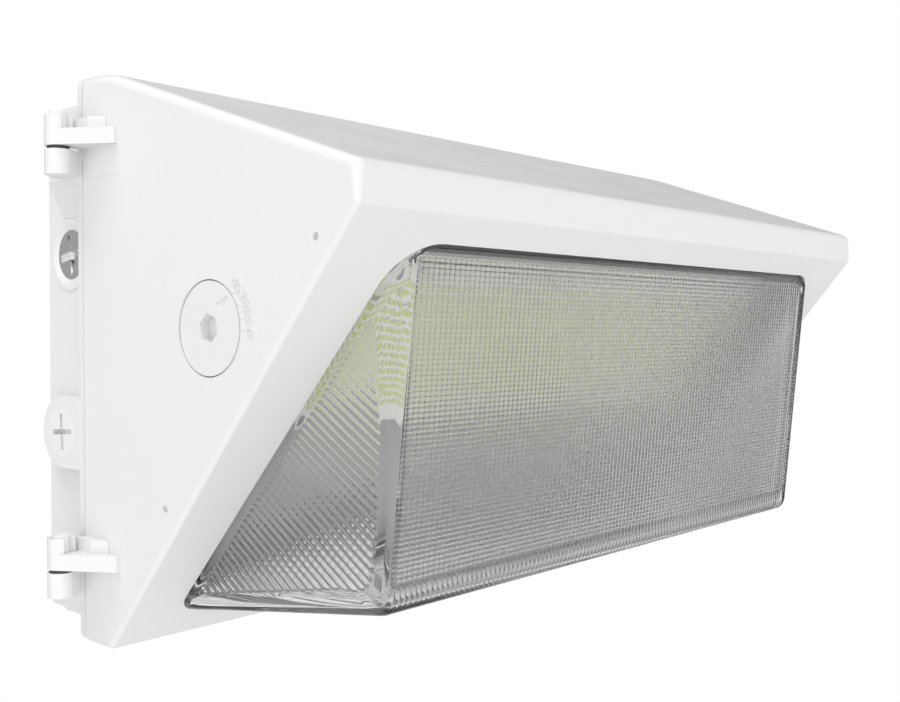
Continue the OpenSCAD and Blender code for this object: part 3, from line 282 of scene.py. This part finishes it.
lensLook = {
    "origin": (0.0, -54.6, -117.5), "tilt": 39.273, "middle": 112.0,
    # Outline: centres and radii of its corner circles, and how far past them each one's direction holds
    "lowCorner": (173.2, 25.2), "highCorner": (151.4, 186.6), "lowR": 9.2, "highR": 21.2,
    "lowPast": 0.5, "highPast": 1.2,
    # Side profile as (v, n), the nose's fillet, the wall, and a place on the straight front
    "foot": (16.0, 0.0), "nose": (93.79, 74.57), "brow": (205.5, 0.0), "noseR": 7.0, "wall": 3.5,
    "onFront": 150.0,
    # Front corners: half width at the nose, brow and foot; where the flat part ends in front and at the
    # foot; how far the curve comes down the side below and above the nose, at most this share of the side
    "faceHalfLow": 167.1, "faceHalfHigh": 164.2, "footHalf": 183.2, "flatEnd": 164.1, "footEnd": 176.7,
    "curveLow": 9.7, "curveHigh": 3.5, "curveBlend": 6.0, "curveMost": 0.8, "curveWeight": 0.55,
    # How much of the wall the corner, its curve, its flat end and the nose's fillet move in by
    "cornerIn": 1.03, "curveIn": 0.85, "endIn": 0.25, "noseIn": 0.5,
    # Least distances that keep columns from falling together
    "cornerGap": 0.02, "endGap": 0.15, "columnGap": 0.05,
    # Upright flutes in front, outside
    "flutePitch": 2.9, "fluteCount": 113, "fluteHigh": 0.35, "fluteSteps": 8,
    "fluteStart": (18.0, 20.0), "fluteEnd": (202.8, 203.9),
    # Level ribs in front, inside
    "ribPitch": 1.95, "ribHigh": 0.22, "ribSteps": 8, "ribGap": 3.0, "ribEnd": 201.6, "ribFade": 0.7,
    "topStart": 202.0,
    # Flutes across the sides, outside; they end at clearY from the wall, kept between two shares of the side
    "sidePitch": 3.0, "sideHigh": 0.8, "sideSteps": 8, "sideStart": (3.4, 4.3), "sideStop": (0.4, 1.3),
    "sideFade": (20.0, 24.0), "sideRound": 0.98, "clearY": 170.2, "clearShare": (0.1, 0.93),
    # Thin lines along the sides, inside
    "linePitch": 3.0, "lineHigh": 0.08, "lineHalf": 0.4, "lineCount": 23, "lineFade": (2.0, 6.0),
    "lineEdge": (0.6, 0.9),
    # Rows and columns of the mesh, inside ones named so
    "footRows": (16.0, 16.4, 17.0, 18.0, 19.0, 20.0, 22.0, 25.0, 32.0, 45.0, 65.0),
    "frontRows": (104.0, 122.0, 138.0, 148.0, 156.0, 163.0, 169.0, 175.0, 180.0, 185.0, 189.0, 193.0, 197.0),
    "sideFootRows": (16.03, 16.1, 16.2), "footRowsIn": (20.5, 22.0, 25.0, 32.0, 45.0, 65.0),
    "sideRowsIn": 110, "columnsIn": (60.0, 120.0, 159.8, 160.2, 162.4, 162.9),
    "nearColumns": (0, 2.6, 3.2, 3.6, 4.0, 4.5, 5.2, 6.0), "middleColumns": (0.33, 0.66),
    "farColumns": (4.4, 3.4, 2.8, 2.3, 1.8, 1.3, 0.9, 0.4, 0.0), "columnShare": 0.45,
    "stripColumns": (0.05, 0.1, 0.97), "cornerColumns": (0.5, 0.85),
    # Flange behind the opening
    "flangeOut": 7.8, "flangeFront": -6.0, "flangeBack": -9.0,
}


# Angle of the outline's straight sides: that of the line between the centres of the corner circles, less the
# angle whose sine is the difference of the radii over that line's length
def sideAngle(look=lensLook):
    x, v = np.subtract(look["highCorner"], look["lowCorner"])
    return math.atan2(-x, v) - math.asin((look["highR"] - look["lowR"]) / math.hypot(x, v))


# Half width of the outline drawn in by inset: two corner circles and their common tangent
def outlineHalf(v, inset, look=lensLook):
    low, high = np.array(look["lowCorner"]), np.array(look["highCorner"])
    rLow, rHigh = look["lowR"] - inset, look["highR"] - inset
    side = np.array([math.cos(sideAngle()), math.sin(sideAngle())])
    a, b = low + rLow * side, high + rHigh * side
    flat = a[0] + (v - a[1]) * (b[0] - a[0]) / (b[1] - a[1])
    lowArc = low[0] + np.sqrt(np.maximum(rLow ** 2 - (v - low[1]) ** 2, 0))
    highArc = high[0] + np.sqrt(np.maximum(rHigh ** 2 - (v - high[1]) ** 2, 0))
    return np.where(v < a[1], lowArc, np.where(v > b[1], highArc, flat))


# Outward direction of the outline at a point on it: away from the nearest corner circle's centre, or square
# to the straight side
def outlineNormal(x, v, look=lensLook):
    low, high = look["lowCorner"], look["highCorner"]
    nx, nv = np.full_like(x, math.cos(sideAngle())), np.full_like(x, math.sin(sideAngle()))
    for zone, centre in ((v < low[1] + look["lowPast"], low), (v > high[1] + look["highPast"], high)):
        dx, dv = np.maximum(np.abs(x) - centre[0], 0), v - centre[1]
        length = np.maximum(np.hypot(dx, dv), tiny)
        nx, nv = np.where(zone, dx / length, nx), np.where(zone, dv / length, nv)
    return nx * np.sign(x), nv


# Side profile drawn in by wall: two straight lines and a fillet from v1 to v2; gives height and slope at v
def lensProfile(v, wall, look=lensLook):
    foot, nose, brow = look["foot"], look["nose"], look["brow"]
    up = math.atan2(nose[1] - foot[1], nose[0] - foot[0])
    down = math.atan2(brow[1] - nose[1], brow[0] - nose[0])
    lift = (nose[1] - math.tan(up) * nose[0] - wall / math.cos(up),
            nose[1] - math.tan(down) * nose[0] - wall / math.cos(down))
    vTip = (lift[1] - lift[0]) / (math.tan(up) - math.tan(down))
    nTip = lift[0] + math.tan(up) * vTip
    r = look["noseR"] - wall * look["noseIn"]
    reach = r * math.tan((up - down) / 2)
    v1, v2 = vTip - reach * math.cos(up), vTip + reach * math.cos(down)
    centre = (v1 + r * math.sin(up), nTip - reach * math.sin(up) - r * math.cos(up))
    drop = v - centre[0]
    arc = centre[1] + np.sqrt(np.maximum(r * r - drop ** 2, tiny))
    height = np.where(v < v1, lift[0] + math.tan(up) * v, np.where(v > v2, lift[1] + math.tan(down) * v, arc))
    arcSlope = -drop / np.sqrt(np.maximum(r * r - drop ** 2, tiny))
    slope = np.where(v < v1, math.tan(up), np.where(v > v2, math.tan(down), arcSlope))
    return height, slope, (v1, v2)


# One cross-section per v: foot, where the corner's curve starts on the side, the corner, where the curve ends
# in front, and the height at which the side flutes end
def lensSection(v, wall, look=lensLook):
    height, slope, _ = lensProfile(v, wall)
    footX = outlineHalf(v, wall)
    footN = np.minimum(0.0, height)
    nose, brow, foot = look["nose"], look["brow"], look["foot"]
    cornerX = np.interp(v, [foot[0], nose[0], brow[0]],
                        [look["footHalf"], look["faceHalfLow"], look["faceHalfHigh"]])
    cornerX = np.minimum(cornerX - wall * look["cornerIn"], footX - look["cornerGap"])
    span = np.maximum(height - footN, tiny)
    cosT, sinT = math.cos(math.radians(look["tilt"])), math.sin(math.radians(look["tilt"]))
    clearN = (look["clearY"] + look["origin"][1] - sinT * v) / cosT
    blend = [nose[0] - look["curveBlend"], nose[0] + look["curveBlend"]]
    curve = np.interp(v, blend, [look["curveLow"], look["curveHigh"]]) - wall * look["curveIn"]
    lower = np.minimum(curve, look["curveMost"] * span)
    startN = np.maximum(footN, height - np.where(v < nose[0], lower, curve))
    startX = footX + (cornerX - footX) * (startN - footN) / span
    endX = np.interp(v, [foot[0], nose[0]], [look["footEnd"], look["flatEnd"]]) - wall * look["endIn"]
    endX = np.minimum(cornerX - look["endGap"], endX)
    return dict(h=height, slope=slope, footX=footX, footN=footN, startX=startX, startN=startN,
                cornerX=cornerX, endX=endX, clearN=clearN)


# Cross-section of one rib over its pitch: 1 on the crest, 0 in the valleys. It is 1 less a power of the
# distance from the crest: the higher the power, the flatter the crest and the narrower the valleys
def ribShape(place, power=4):
    return 1 - np.abs(2 * (place - np.floor(place)) - 1) ** power


def easeBetween(value, start, end):  # 0 before start, 1 after end, between them 3t^2 - 2t^3
    t = np.clip((value - start) / (end - start), 0, 1)
    return t * t * (3 - 2 * t)


# Front and underside with both corner curves, which are rational quadratic curves round the corner: rows at
# rowV, the flat part's columns at flatX, and where the flat part is narrower they come together at its end
def frontPatch(rowV, flatX, wall, lift, curveSteps, look=lensLook):
    s = lensSection(rowV, wall)
    t = np.linspace(0, 1, curveSteps + 1)[:-1]
    wa, wb, wc = (1 - t) ** 2, 2 * look["curveWeight"] * t * (1 - t), t ** 2
    total = wa + wb + wc
    curveX = (s["startX"][:, None] * wa + s["cornerX"][:, None] * wb + s["endX"][:, None] * wc) / total
    curveN = (s["startN"][:, None] * wa + s["h"][:, None] * (wb + wc)) / total
    endCol = s["endX"][:, None]
    flat = np.clip(flatX[None, :], look["columnGap"] - endCol, endCol - look["columnGap"])
    x = np.concatenate([-curveX, -endCol, flat, endCol, curveX[:, ::-1]], 1)
    level = np.repeat(s["h"][:, None], flat.shape[1] + 2, 1)
    n = np.concatenate([curveN, level, curveN[:, ::-1]], 1)
    v = np.repeat(rowV[:, None], x.shape[1], 1)
    rise = lift(x, v)
    k = 1 / np.sqrt(1 + s["slope"][:, None] ** 2)
    return np.stack([x, v - rise * k * s["slope"][:, None], n + rise * k], -1)


# One side up to just under the corner's curve: rows at rowV, columns at the heights riseAt gives
def sidePatch(rowV, riseAt, wall, lift, sign, look=lensLook):
    s = lensSection(rowV, wall)
    whole = s["startN"] - s["footN"]
    full = np.clip(s["clearN"] - s["footN"], look["clearShare"][0] * whole, look["clearShare"][1] * whole)
    rise = riseAt(full[:, None], whole[:, None])
    n = s["footN"][:, None] + rise
    share = rise / np.maximum(whole, tiny)[:, None]
    x = s["footX"][:, None] + (s["startX"] - s["footX"])[:, None] * share
    v = np.repeat(rowV[:, None], x.shape[1], 1)
    out = lift(v, rise, full[:, None])
    return np.stack([sign * (x + out), v, n], -1)


# A full skin of the lens, outer or inner: front patch, two sides, the seams between them and its rim line
def lensSkin(rowsFront, rowsSide, flatX, wall, frontLift, sideLift, riseAt, curveSteps):
    front = frontPatch(rowsFront, flatX, wall, frontLift, curveSteps)
    rows, cols = front.shape[:2]
    sides = [sidePatch(rowsSide, riseAt, wall, sideLift, sign) for sign in (-1, 1)]
    sRows, sCols = sides[0].shape[:2]
    points = np.concatenate([front.reshape(-1, 3)] + [side.reshape(-1, 3) for side in sides])
    starts = [rows * cols, rows * cols + sRows * sCols]
    frontIndex = np.arange(rows * cols).reshape(rows, cols)
    sideIndex = [start + np.arange(sRows * sCols).reshape(sRows, sCols) for start in starts]
    faces = [gridFaces(rows, cols, 0)] + [gridFaces(sRows, sCols, start) for start in starts]
    split = int(np.argmin(np.abs(rowsFront - rowsSide[-1])))
    seams = [zipFaces(side[:, -1], rowsSide, frontIndex[:split + 1, edge], rowsFront[:split + 1])
             for side, edge in zip(sideIndex, (0, -1))]
    rim = np.concatenate([frontIndex[0, :], sideIndex[1][1:, 0], frontIndex[split + 1:, -1],
                          frontIndex[-1, ::-1][1:], frontIndex[split:-1, 0][::-1],
                          sideIndex[0][:-1, 0][::-1]])
    return points, faces, seams, rim


def buildLens(look=lensLook):
    wall = look["wall"]
    half = look["flutePitch"] * look["fluteCount"] / 2
    topOut = look["highCorner"][1] + look["highR"]
    topIn, footIn = topOut - wall, look["foot"][0] + wall
    bendOut, bendIn = [lensProfile(np.zeros(1), depth)[2] for depth in (0.0, wall)]

    def splitOf(depth):  # where the side's height has come down to the corner's curve
        height, slope, _ = lensProfile(np.array([look["onFront"]]), depth)
        return float(look["onFront"] + (look["curveHigh"] - depth * look["curveIn"] - height[0]) / slope[0])
    splitOut, splitIn = splitOf(0.0), splitOf(wall)

    def cornerRows(start, end, count):  # closer together towards the end
        return start + (end - start) * np.sin(np.linspace(0, math.pi / 2, count))

    # Outer skin: upright flutes in front and below, flutes across the sides
    def frontFlutes(x, v):
        place = (x + half) / look["flutePitch"]
        fade = easeBetween(v, *look["fluteStart"]) * (1 - easeBetween(v, *look["fluteEnd"]))
        return look["fluteHigh"] * ribShape(place) * fade * (np.abs(x) < half - tiny)

    def sideFlutes(v, rise, full):  # both ends of a flute are bowed like a half circle
        place = v / look["sidePitch"]
        cross = 2 * (place - np.floor(place)) - 1
        bow = look["sidePitch"] / 2 * (1 - np.sqrt(1 - look["sideRound"] * cross ** 2))
        start, end = [easeBetween(run - bow, *look[key])
                      for run, key in ((rise, "sideStart"), (full - rise, "sideStop"))]
        return look["sideHigh"] * ribShape(place, 2) * start * end * easeBetween(v, *look["sideFade"])

    def sideRise(full, whole):  # columns close together at both ends of the flutes, three on the clear strip
        near, far = np.array(look["nearColumns"])[None], np.array(look["farColumns"])[None]
        low = np.minimum(near, full * np.linspace(0, look["columnShare"], near.shape[1]))
        high = full - np.minimum(far, full * np.linspace(look["columnShare"], 0, far.shape[1]))
        between = low[:, -1:] + (high[:, :1] - low[:, -1:]) * np.array(look["middleColumns"])
        strip = full + (whole - full) * np.array(look["stripColumns"])
        return np.concatenate([low, between, high, strip], 1)

    def rowsOf(*parts):  # all the rows in rising order, each once
        return np.unique(np.round(np.concatenate(parts), 5))

    rowsOut = rowsOf(look["footRows"], np.linspace(*bendOut, 9), look["frontRows"],
                     cornerRows(splitOut, topOut, 10), np.linspace(*look["fluteEnd"], 4))
    rowsSideOut = rowsOf(look["sideFootRows"], [splitOut],
                         np.arange(look["foot"][0], splitOut, look["sidePitch"] / look["sideSteps"]))
    fluteAt = np.arange(look["fluteCount"] * look["fluteSteps"] + 1) * look["flutePitch"] / look["fluteSteps"]
    outer = lensSkin(rowsOut, rowsSideOut, fluteAt - half, 0.0, frontFlutes, sideFlutes, sideRise, 10)

    # Inner skin: level ribs in front, a few thin lines along the sides
    ribRun = look["ribPitch"] * math.cos(math.atan2(look["nose"][1], look["brow"][0] - look["nose"][0]))
    ribLow = bendIn[1] + look["ribGap"]
    ribCount = int((look["ribEnd"] - ribLow) / ribRun)
    ribHighV = ribLow + ribCount * ribRun

    def frontRibs(x, v):
        place = (v - ribLow) / ribRun
        edge = lensSection(v[:, 0], wall)["endX"][:, None]
        fade = (v > ribLow) * (v < ribHighV) * (1 - easeBetween(np.abs(x), edge - look["ribFade"], edge))
        return -look["ribHigh"] * ribShape(place) * fade

    def sideLines(v, rise, full):
        off = np.abs(rise - look["linePitch"] * np.round(rise / look["linePitch"])) / look["lineHalf"]
        fade = (rise > look["linePitch"] / 2) * easeBetween(full - rise, *look["lineFade"])
        return -look["lineHigh"] * np.maximum(0, 1 - off) * fade

    rowsIn = rowsOf([footIn, footIn + 0.3], look["footRowsIn"], np.linspace(*bendIn, 7),
                    ribLow + np.arange(ribCount * look["ribSteps"] + 1) * ribRun / look["ribSteps"],
                    [splitIn], cornerRows(look["topStart"], topIn, 7))
    rowsSideIn = rowsOf([footIn, footIn + 0.1, footIn + 0.3],
                        np.linspace(footIn + 1, splitIn, look["sideRowsIn"]))
    columns = np.array(look["columnsIn"])
    flatIn = np.concatenate([-columns[::-1], [0], columns])
    lineAt = np.arange(1, look["lineCount"] + 1)[:, None] * look["linePitch"]
    lineAt = np.append(0, (lineAt + np.array([-1, 0, 1]) * look["lineHalf"]).ravel())[None]

    def lineRise(full, whole):  # lines as far as there is height, then two columns that hold the corner
        edge = np.maximum(whole - look["lineEdge"][0], look["lineEdge"][1] * whole)
        corner = edge + (whole - edge) * np.array(look["cornerColumns"])
        return np.concatenate([np.minimum(lineAt, edge), corner], 1)
    inner = lensSkin(rowsIn, rowsSideIn, flatIn, wall, frontRibs, sideLines, lineRise, 8)

    # Rim: down the outline, out to the flange's edge, round it, and in to the inner skin
    count = len(outer[0])
    faces = outer[1] + outer[2] + [part + count for part in inner[1] + inner[2]]
    outRim, inRim = outer[3], inner[3] + count
    allPoints = np.concatenate([outer[0], inner[0]])
    outXV, inXV = allPoints[outRim], allPoints[inRim]
    nx, nv = outlineNormal(outXV[:, 0], outXV[:, 1])

    def ring(base, offset, level):
        return np.stack([base[:, 0] + nx * offset, base[:, 1] + nv * offset, np.full(len(base), level)], -1)

    rings = [ring(outXV, 0.0, look["flangeFront"]), ring(outXV, look["flangeOut"], look["flangeFront"]),
             ring(outXV, look["flangeOut"], look["flangeBack"])]
    inRing = np.stack([inXV[:, 0], inXV[:, 1], np.full(len(inXV), look["flangeBack"])], -1)
    total, chains = len(allPoints), [outRim]
    for r in rings:
        chains.append(total + np.arange(len(r)))
        total += len(r)
    inChain = total + np.arange(len(inRing))
    allPoints = np.concatenate([allPoints] + rings + [inRing])
    for a, b in zip(chains[:-1], chains[1:]):
        faces.append(np.stack([a, np.roll(a, -1), np.roll(b, -1), b], -1))
    faces.append(np.stack([inRim, np.roll(inRim, -1), np.roll(inChain, -1), inChain], -1))

    def turnOf(chain):  # angle round the middle of the opening, rising along the chain
        p = allPoints[chain]
        angle = np.unwrap(np.arctan2(p[:, 1] - look["middle"], p[:, 0]))
        return np.maximum.accumulate(angle)
    closeOut, closeIn = np.append(chains[-1], chains[-1][0]), np.append(inChain, inChain[0])
    placeOut, placeIn = turnOf(closeOut), turnOf(closeIn)
    faces.append(zipFaces(closeOut, (placeOut - placeOut[0]) / (placeOut[-1] - placeOut[0]),
                          closeIn, (placeIn - placeIn[0]) / (placeIn[-1] - placeIn[0])))

    cosT, sinT = math.cos(math.radians(look["tilt"])), math.sin(math.radians(look["tilt"]))
    x, v, n = allPoints.T
    world = np.stack([x + look["origin"][0], look["origin"][1] - sinT * v - cosT * n,
                      look["origin"][2] + cosT * v - sinT * n], -1)
    piece = makePiece("ribbed_lens", world, faces, [lensGlass], "cover")
    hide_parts("lens")
    return piece


ribbedLens = buildLens()
print("ribbed lens:", len(ribbedLens.data.vertices), "points,", len(ribbedLens.data.polygons), "faces")


# Faces of loops of points that lie one above the other, closed by a tip and a centre below, which are the
# last two points: the bands between the loops, and the two fans
def stackFaces(around, loops):
    step = np.arange(around)
    after, top = (step + 1) % around, (loops - 1) * around
    bands = [np.stack([low + step, low + after, low + around + after, low + around + step], -1)
             for low in range(0, top, around)]
    tip = np.stack([top + step, top + after, np.full(around, top + around)], -1)
    base = np.stack([after, step, np.full(around, top + around + 1)], -1)
    return bands, [tip, base]


# The chips, on the board that looks forwards and down at 45 degrees

chipLook = {
    "axis": (-118.7, 13.4), "lean": 45.0, "face": 11.2, "rows": 15, "rowPitch": 5.0,
    "columns": 69, "columnPitch": 4.4, "half": (1.5, 1.65), "high": 0.8, "around": 12, "square": 0.55,
    "loops": [(1.0, 0.0), (1.0, 0.5), (0.95, 0.6), (0.9, 0.56), (0.5, 0.74)],  # size, height
    "bandSlots": [0, 0, 0, 1], "fanSlots": [1, 0],  # 0 is the body, 1 the phosphor
}


# Chip body and phosphor: rounded-square loops, scaled and raised step by step, closed by a low dome
def buildChips(look=chipLook):
    around, (halfX, halfY) = look["around"], look["half"]
    turn = (np.arange(around) + 0.5) * 2 * math.pi / around
    across, along = [np.sign(side) * np.abs(side) ** look["square"] for side in (np.cos(turn), np.sin(turn))]
    shell = [np.stack([across * halfX * size, along * halfY * size, np.full(around, high)], -1)
             for size, high in look["loops"]]
    one = np.concatenate(shell + [[[0, 0, look["high"]], [0, 0, 0]]])
    i, j = np.meshgrid(np.arange(look["rows"]), np.arange(look["columns"]), indexing="ij")
    shift = np.stack([(j - (look["columns"] - 1) / 2) * look["columnPitch"],
                      (i - (look["rows"] - 1) / 2) * look["rowPitch"], np.zeros(i.shape)], -1)
    shift = shift.reshape(-1, 1, 3)
    local = (one[None] + shift).reshape(-1, 3)
    hops = (np.arange(len(shift)) * len(one))[:, None, None]
    faces = [(np.concatenate(part)[None] + hops).reshape(-1, part[0].shape[1])
             for part in stackFaces(around, len(shell))]
    slots = [np.tile(np.repeat(look[key], around), len(shift)) for key in ("bandSlots", "fanSlots")]
    x, y, up = local.T
    z = -look["face"] - up
    lean = math.radians(look["lean"])
    world = np.stack([x, look["axis"][0] + y * math.cos(lean) + z * math.sin(lean),
                      look["axis"][1] - y * math.sin(lean) + z * math.cos(lean)], -1)
    piece = makePiece("light_chips", world, faces, [chipBody, chipPhosphor], "light_tray",
                      faceSlots=np.concatenate(slots), turn=False)
    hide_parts("led_chips")
    return piece


lightChips = buildChips()
print("light chips:", len(lightChips.data.polygons), "faces")


# Raised numbers and dots beside the dial, each at (distance from its middle, angle above the forward
# direction); the numbers' heads point away from it

markLook = {
    "centre": (-118.7, 13.4), "rimHalf": 209.6, "rimY": -33.0, "draw": 6.5 / 162,
    "numbers": {"45": (22.7, 45.0), "30": (23.2, 28.0), "15": (22.8, 12.0), "0": (23.4, -2.5)},
    "textHigh": 4.2, "raised": 0.45, "sunk": 0.3, "soft": 0.08, "softTurn": 30,
    "dots": [(19.2, 44.0), (19.2, 28.6), (19.2, 12.3), (19.4, -0.6)], "dotR": 0.7, "dotAround": 16,
    "dotLift": (-40, 0, 25, 50, 72), "dotFlat": 0.7, "dotTip": 0.72, "dotFoot": 0.5,
}


# Puts points given as (forwards, up, out of the side) on the sloping left side
def onSide(forward, up, out, look=markLook):
    y = look["centre"][0] - forward
    x = -(look["rimHalf"] + look["draw"] * (y - look["rimY"]))
    unit = 1 / math.hypot(1, look["draw"])
    return np.stack([x - out * unit, y - out * unit * look["draw"], look["centre"][1] + up], -1)


def buildNumbers(look=markLook):
    points, faces, count = [], [], 0
    for text, (radius, angle) in look["numbers"].items():
        curve = bpy.data.curves.new("number", "FONT")
        curve.body, curve.size, curve.extrude = text, 1.0, 0.5
        curve.align_x, curve.align_y, curve.resolution_u = "CENTER", "CENTER", 6
        holder = bpy.data.objects.new("number", curve)
        bpy.context.scene.collection.objects.link(holder)
        mesh = holder.to_mesh()
        flat = np.zeros(len(mesh.vertices) * 3)
        mesh.vertices.foreach_get("co", flat)
        flat = flat.reshape(-1, 3)
        polygons = [np.array([list(p.vertices)]) for p in mesh.polygons]
        size = look["textHigh"] / (flat[:, 1].max() - flat[:, 1].min())
        middle = (flat.max(0) + flat.min(0)) / 2
        a = math.radians(angle)
        along, away = (flat[:, 0] - middle[0]) * size, (flat[:, 1] - middle[1]) * size + radius
        forward = away * math.cos(a) + along * math.sin(a)
        up = away * math.sin(a) - along * math.cos(a)
        out = np.where(flat[:, 2] > middle[2], look["raised"], -look["sunk"])
        points.append(onSide(forward, up, out))
        faces += [p + count for p in polygons]
        count += len(flat)
        holder.to_mesh_clear()
        bpy.data.objects.remove(holder)
        bpy.data.curves.remove(curve)
    piece = makePiece("dial_numbers", np.concatenate(points), faces, [powderCoat], "cover",
                      smooth=False)
    softenEdges(piece, look["soft"], look["softTurn"])


# Dots: low domes, each a flattened circle of profile turned round
def buildDots(look=markLook):
    around, r = look["dotAround"], look["dotR"]
    turn, lift = np.arange(around) * 2 * math.pi / around, np.radians(look["dotLift"])
    ringR, ringH = np.cos(lift)[:, None] * r, np.sin(lift) * r * look["dotFlat"]
    forward, up = [np.append((ringR * side).ravel(), [0, 0]) for side in (np.cos(turn), np.sin(turn))]
    out = np.append(np.repeat(ringH, around), [r * look["dotTip"], -r * look["dotFoot"]])
    one = [part for kind in stackFaces(around, len(lift)) for part in kind]
    points, faces = [], []
    for number, (radius, angle) in enumerate(look["dots"]):
        a = math.radians(angle)
        points.append(onSide(radius * math.cos(a) + forward, radius * math.sin(a) + up, out))
        faces += [part + number * len(out) for part in one]
    makePiece("dial_dots", np.concatenate(points), faces, [powderCoat], "cover")


buildNumbers()
buildDots()
print("dial marks made")


# Studio: pale floor, soft light from all round, brightest at eye level, in front and at the left, with a
# bright patch low behind the light, which the glass shows along its lower edge

studioLook = {
    "floorZ": -1.05, "floorR": 0.8, "floorAround": 96,
    "base": 0.66, "band": 0.12, "lean": (-0.50, -0.70, -0.22),
    "backWay": (0.36, 0.78, -0.51), "backEdge": (0.78, 0.90), "backGlow": 1.0,
    "keyAt": (-0.60, 0.10, 1.35), "keySize": 0.6, "keyPower": 10.5,
}


def buildFloor(look=studioLook):
    around = look["floorAround"]
    turn, step = np.arange(around) * 2 * math.pi / around, np.arange(around)
    after = (step + 1) % around
    rings = [np.stack([np.cos(turn) * r, np.sin(turn) * r, np.full(around, look["floorZ"])], -1)
             for r in (look["floorR"] / 2, look["floorR"])]
    rings = np.concatenate(rings + [[[0, 0, look["floorZ"]]]])
    band = np.stack([step, around + step, around + after, after], -1)
    cap = np.stack([step, after, np.full(around, 2 * around)], -1)
    mesh = bpy.data.meshes.new("floor")
    mesh.from_pydata(rings.tolist(), [], band.tolist() + cap.tolist())
    mesh.materials.append(plainFinish("pale_floor", {
        "colours": ("#f2f2f1", "#eeeeed"), "mottleMm": 400, "grainMm": 6, "bump": 0.05, "depthMm": 0.2,
        "rough": (0.6, 0.7)}))
    floor = bpy.data.objects.new("floor", mesh)
    bpy.context.scene.collection.objects.link(floor)


# World: the camera sees plain white; all else sees base + band x (1 - height^2) + way . lean, or the patch
# where that is brighter
def buildWorld(look=studioLook):
    world = bpy.data.worlds.new("studio")
    world.use_nodes = True
    tree = world.node_tree
    tree.nodes.clear()
    way = addNode(tree, "ShaderNodeTexCoord").outputs["Generated"]
    high = addNode(tree, "ShaderNodeSeparateXYZ", links={0: way}).outputs[2]
    level = addNode(tree, "ShaderNodeMath", {"operation": "MULTIPLY"}, {0: high, 1: high})
    band = addNode(tree, "ShaderNodeMath", {"operation": "MULTIPLY_ADD", 1: -look["band"],
                   2: look["band"] + look["base"]}, {0: level.outputs[0]})
    lean = addNode(tree, "ShaderNodeVectorMath", {"operation": "DOT_PRODUCT", 1: look["lean"]}, {0: way})
    both = addNode(tree, "ShaderNodeMath", {"operation": "ADD"},
                   {0: band.outputs[0], 1: lean.outputs["Value"]})
    away = addNode(tree, "ShaderNodeVectorMath", {"operation": "DOT_PRODUCT", 1: look["backWay"]}, {0: way})
    back = addNode(tree, "ShaderNodeMapRange", {
        "From Min": look["backEdge"][0], "From Max": look["backEdge"][1],
        "To Min": 0.0, "To Max": look["backGlow"]}, {"Value": away.outputs["Value"]})
    whole = addNode(tree, "ShaderNodeMath", {"operation": "MAXIMUM"},
                    {0: both.outputs[0], 1: back.outputs["Result"]})
    white = {"Color": (1, 1, 1, 1)}
    soft = addNode(tree, "ShaderNodeBackground", white, {"Strength": whole.outputs[0]})
    plain = addNode(tree, "ShaderNodeBackground", {**white, "Strength": 1.0})
    seen = addNode(tree, "ShaderNodeLightPath").outputs["Is Camera Ray"]
    mix = addNode(tree, "ShaderNodeMixShader",
                  links={0: seen, 1: soft.outputs[0], 2: plain.outputs[0]})
    addNode(tree, "ShaderNodeOutputWorld", links={"Surface": mix.outputs[0]})
    bpy.context.scene.world = world


# Soft box above the left side, turned towards the light
def buildKey(look=studioLook):
    lamp = bpy.data.lights.new("soft box", "AREA")
    lamp.energy, lamp.size = look["keyPower"], look["keySize"]
    key = bpy.data.objects.new("soft box", lamp)
    key.location = look["keyAt"]
    key.rotation_euler = (-Vector(look["keyAt"])).to_track_quat("-Z", "Y").to_euler()
    bpy.context.scene.collection.objects.link(key)


# Camera where the photograph's edges put it: 43.6 mm on a 36 mm frame, 0.64 m from the front corner

viewLook = {"place": (-0.44662, -0.45192, 0.01278), "yaw": 48.311, "pitch": -1.098,
            "lens": 43.609, "sensor": 36.0, "clip": (0.01, 50.0)}


def buildCamera(look=viewLook):
    lens = bpy.data.cameras.new("view")
    lens.lens, lens.sensor_width = look["lens"], look["sensor"]
    lens.clip_start, lens.clip_end = look["clip"]
    camera = bpy.data.objects.new("view", lens)
    camera.location = look["place"]
    camera.rotation_euler = (math.radians(90 + look["pitch"]), 0, -math.radians(look["yaw"]))
    bpy.context.scene.collection.objects.link(camera)
    bpy.context.scene.camera = camera


buildFloor()
buildWorld()
buildKey()
buildCamera()
scene = bpy.context.scene
scene.view_settings.view_transform = "Standard"
scene.cycles.max_bounces = 20
scene.cycles.transmission_bounces = 16
scene.cycles.diffuse_bounces = 5
scene.cycles.glossy_bounces = 5
print("studio and camera set")
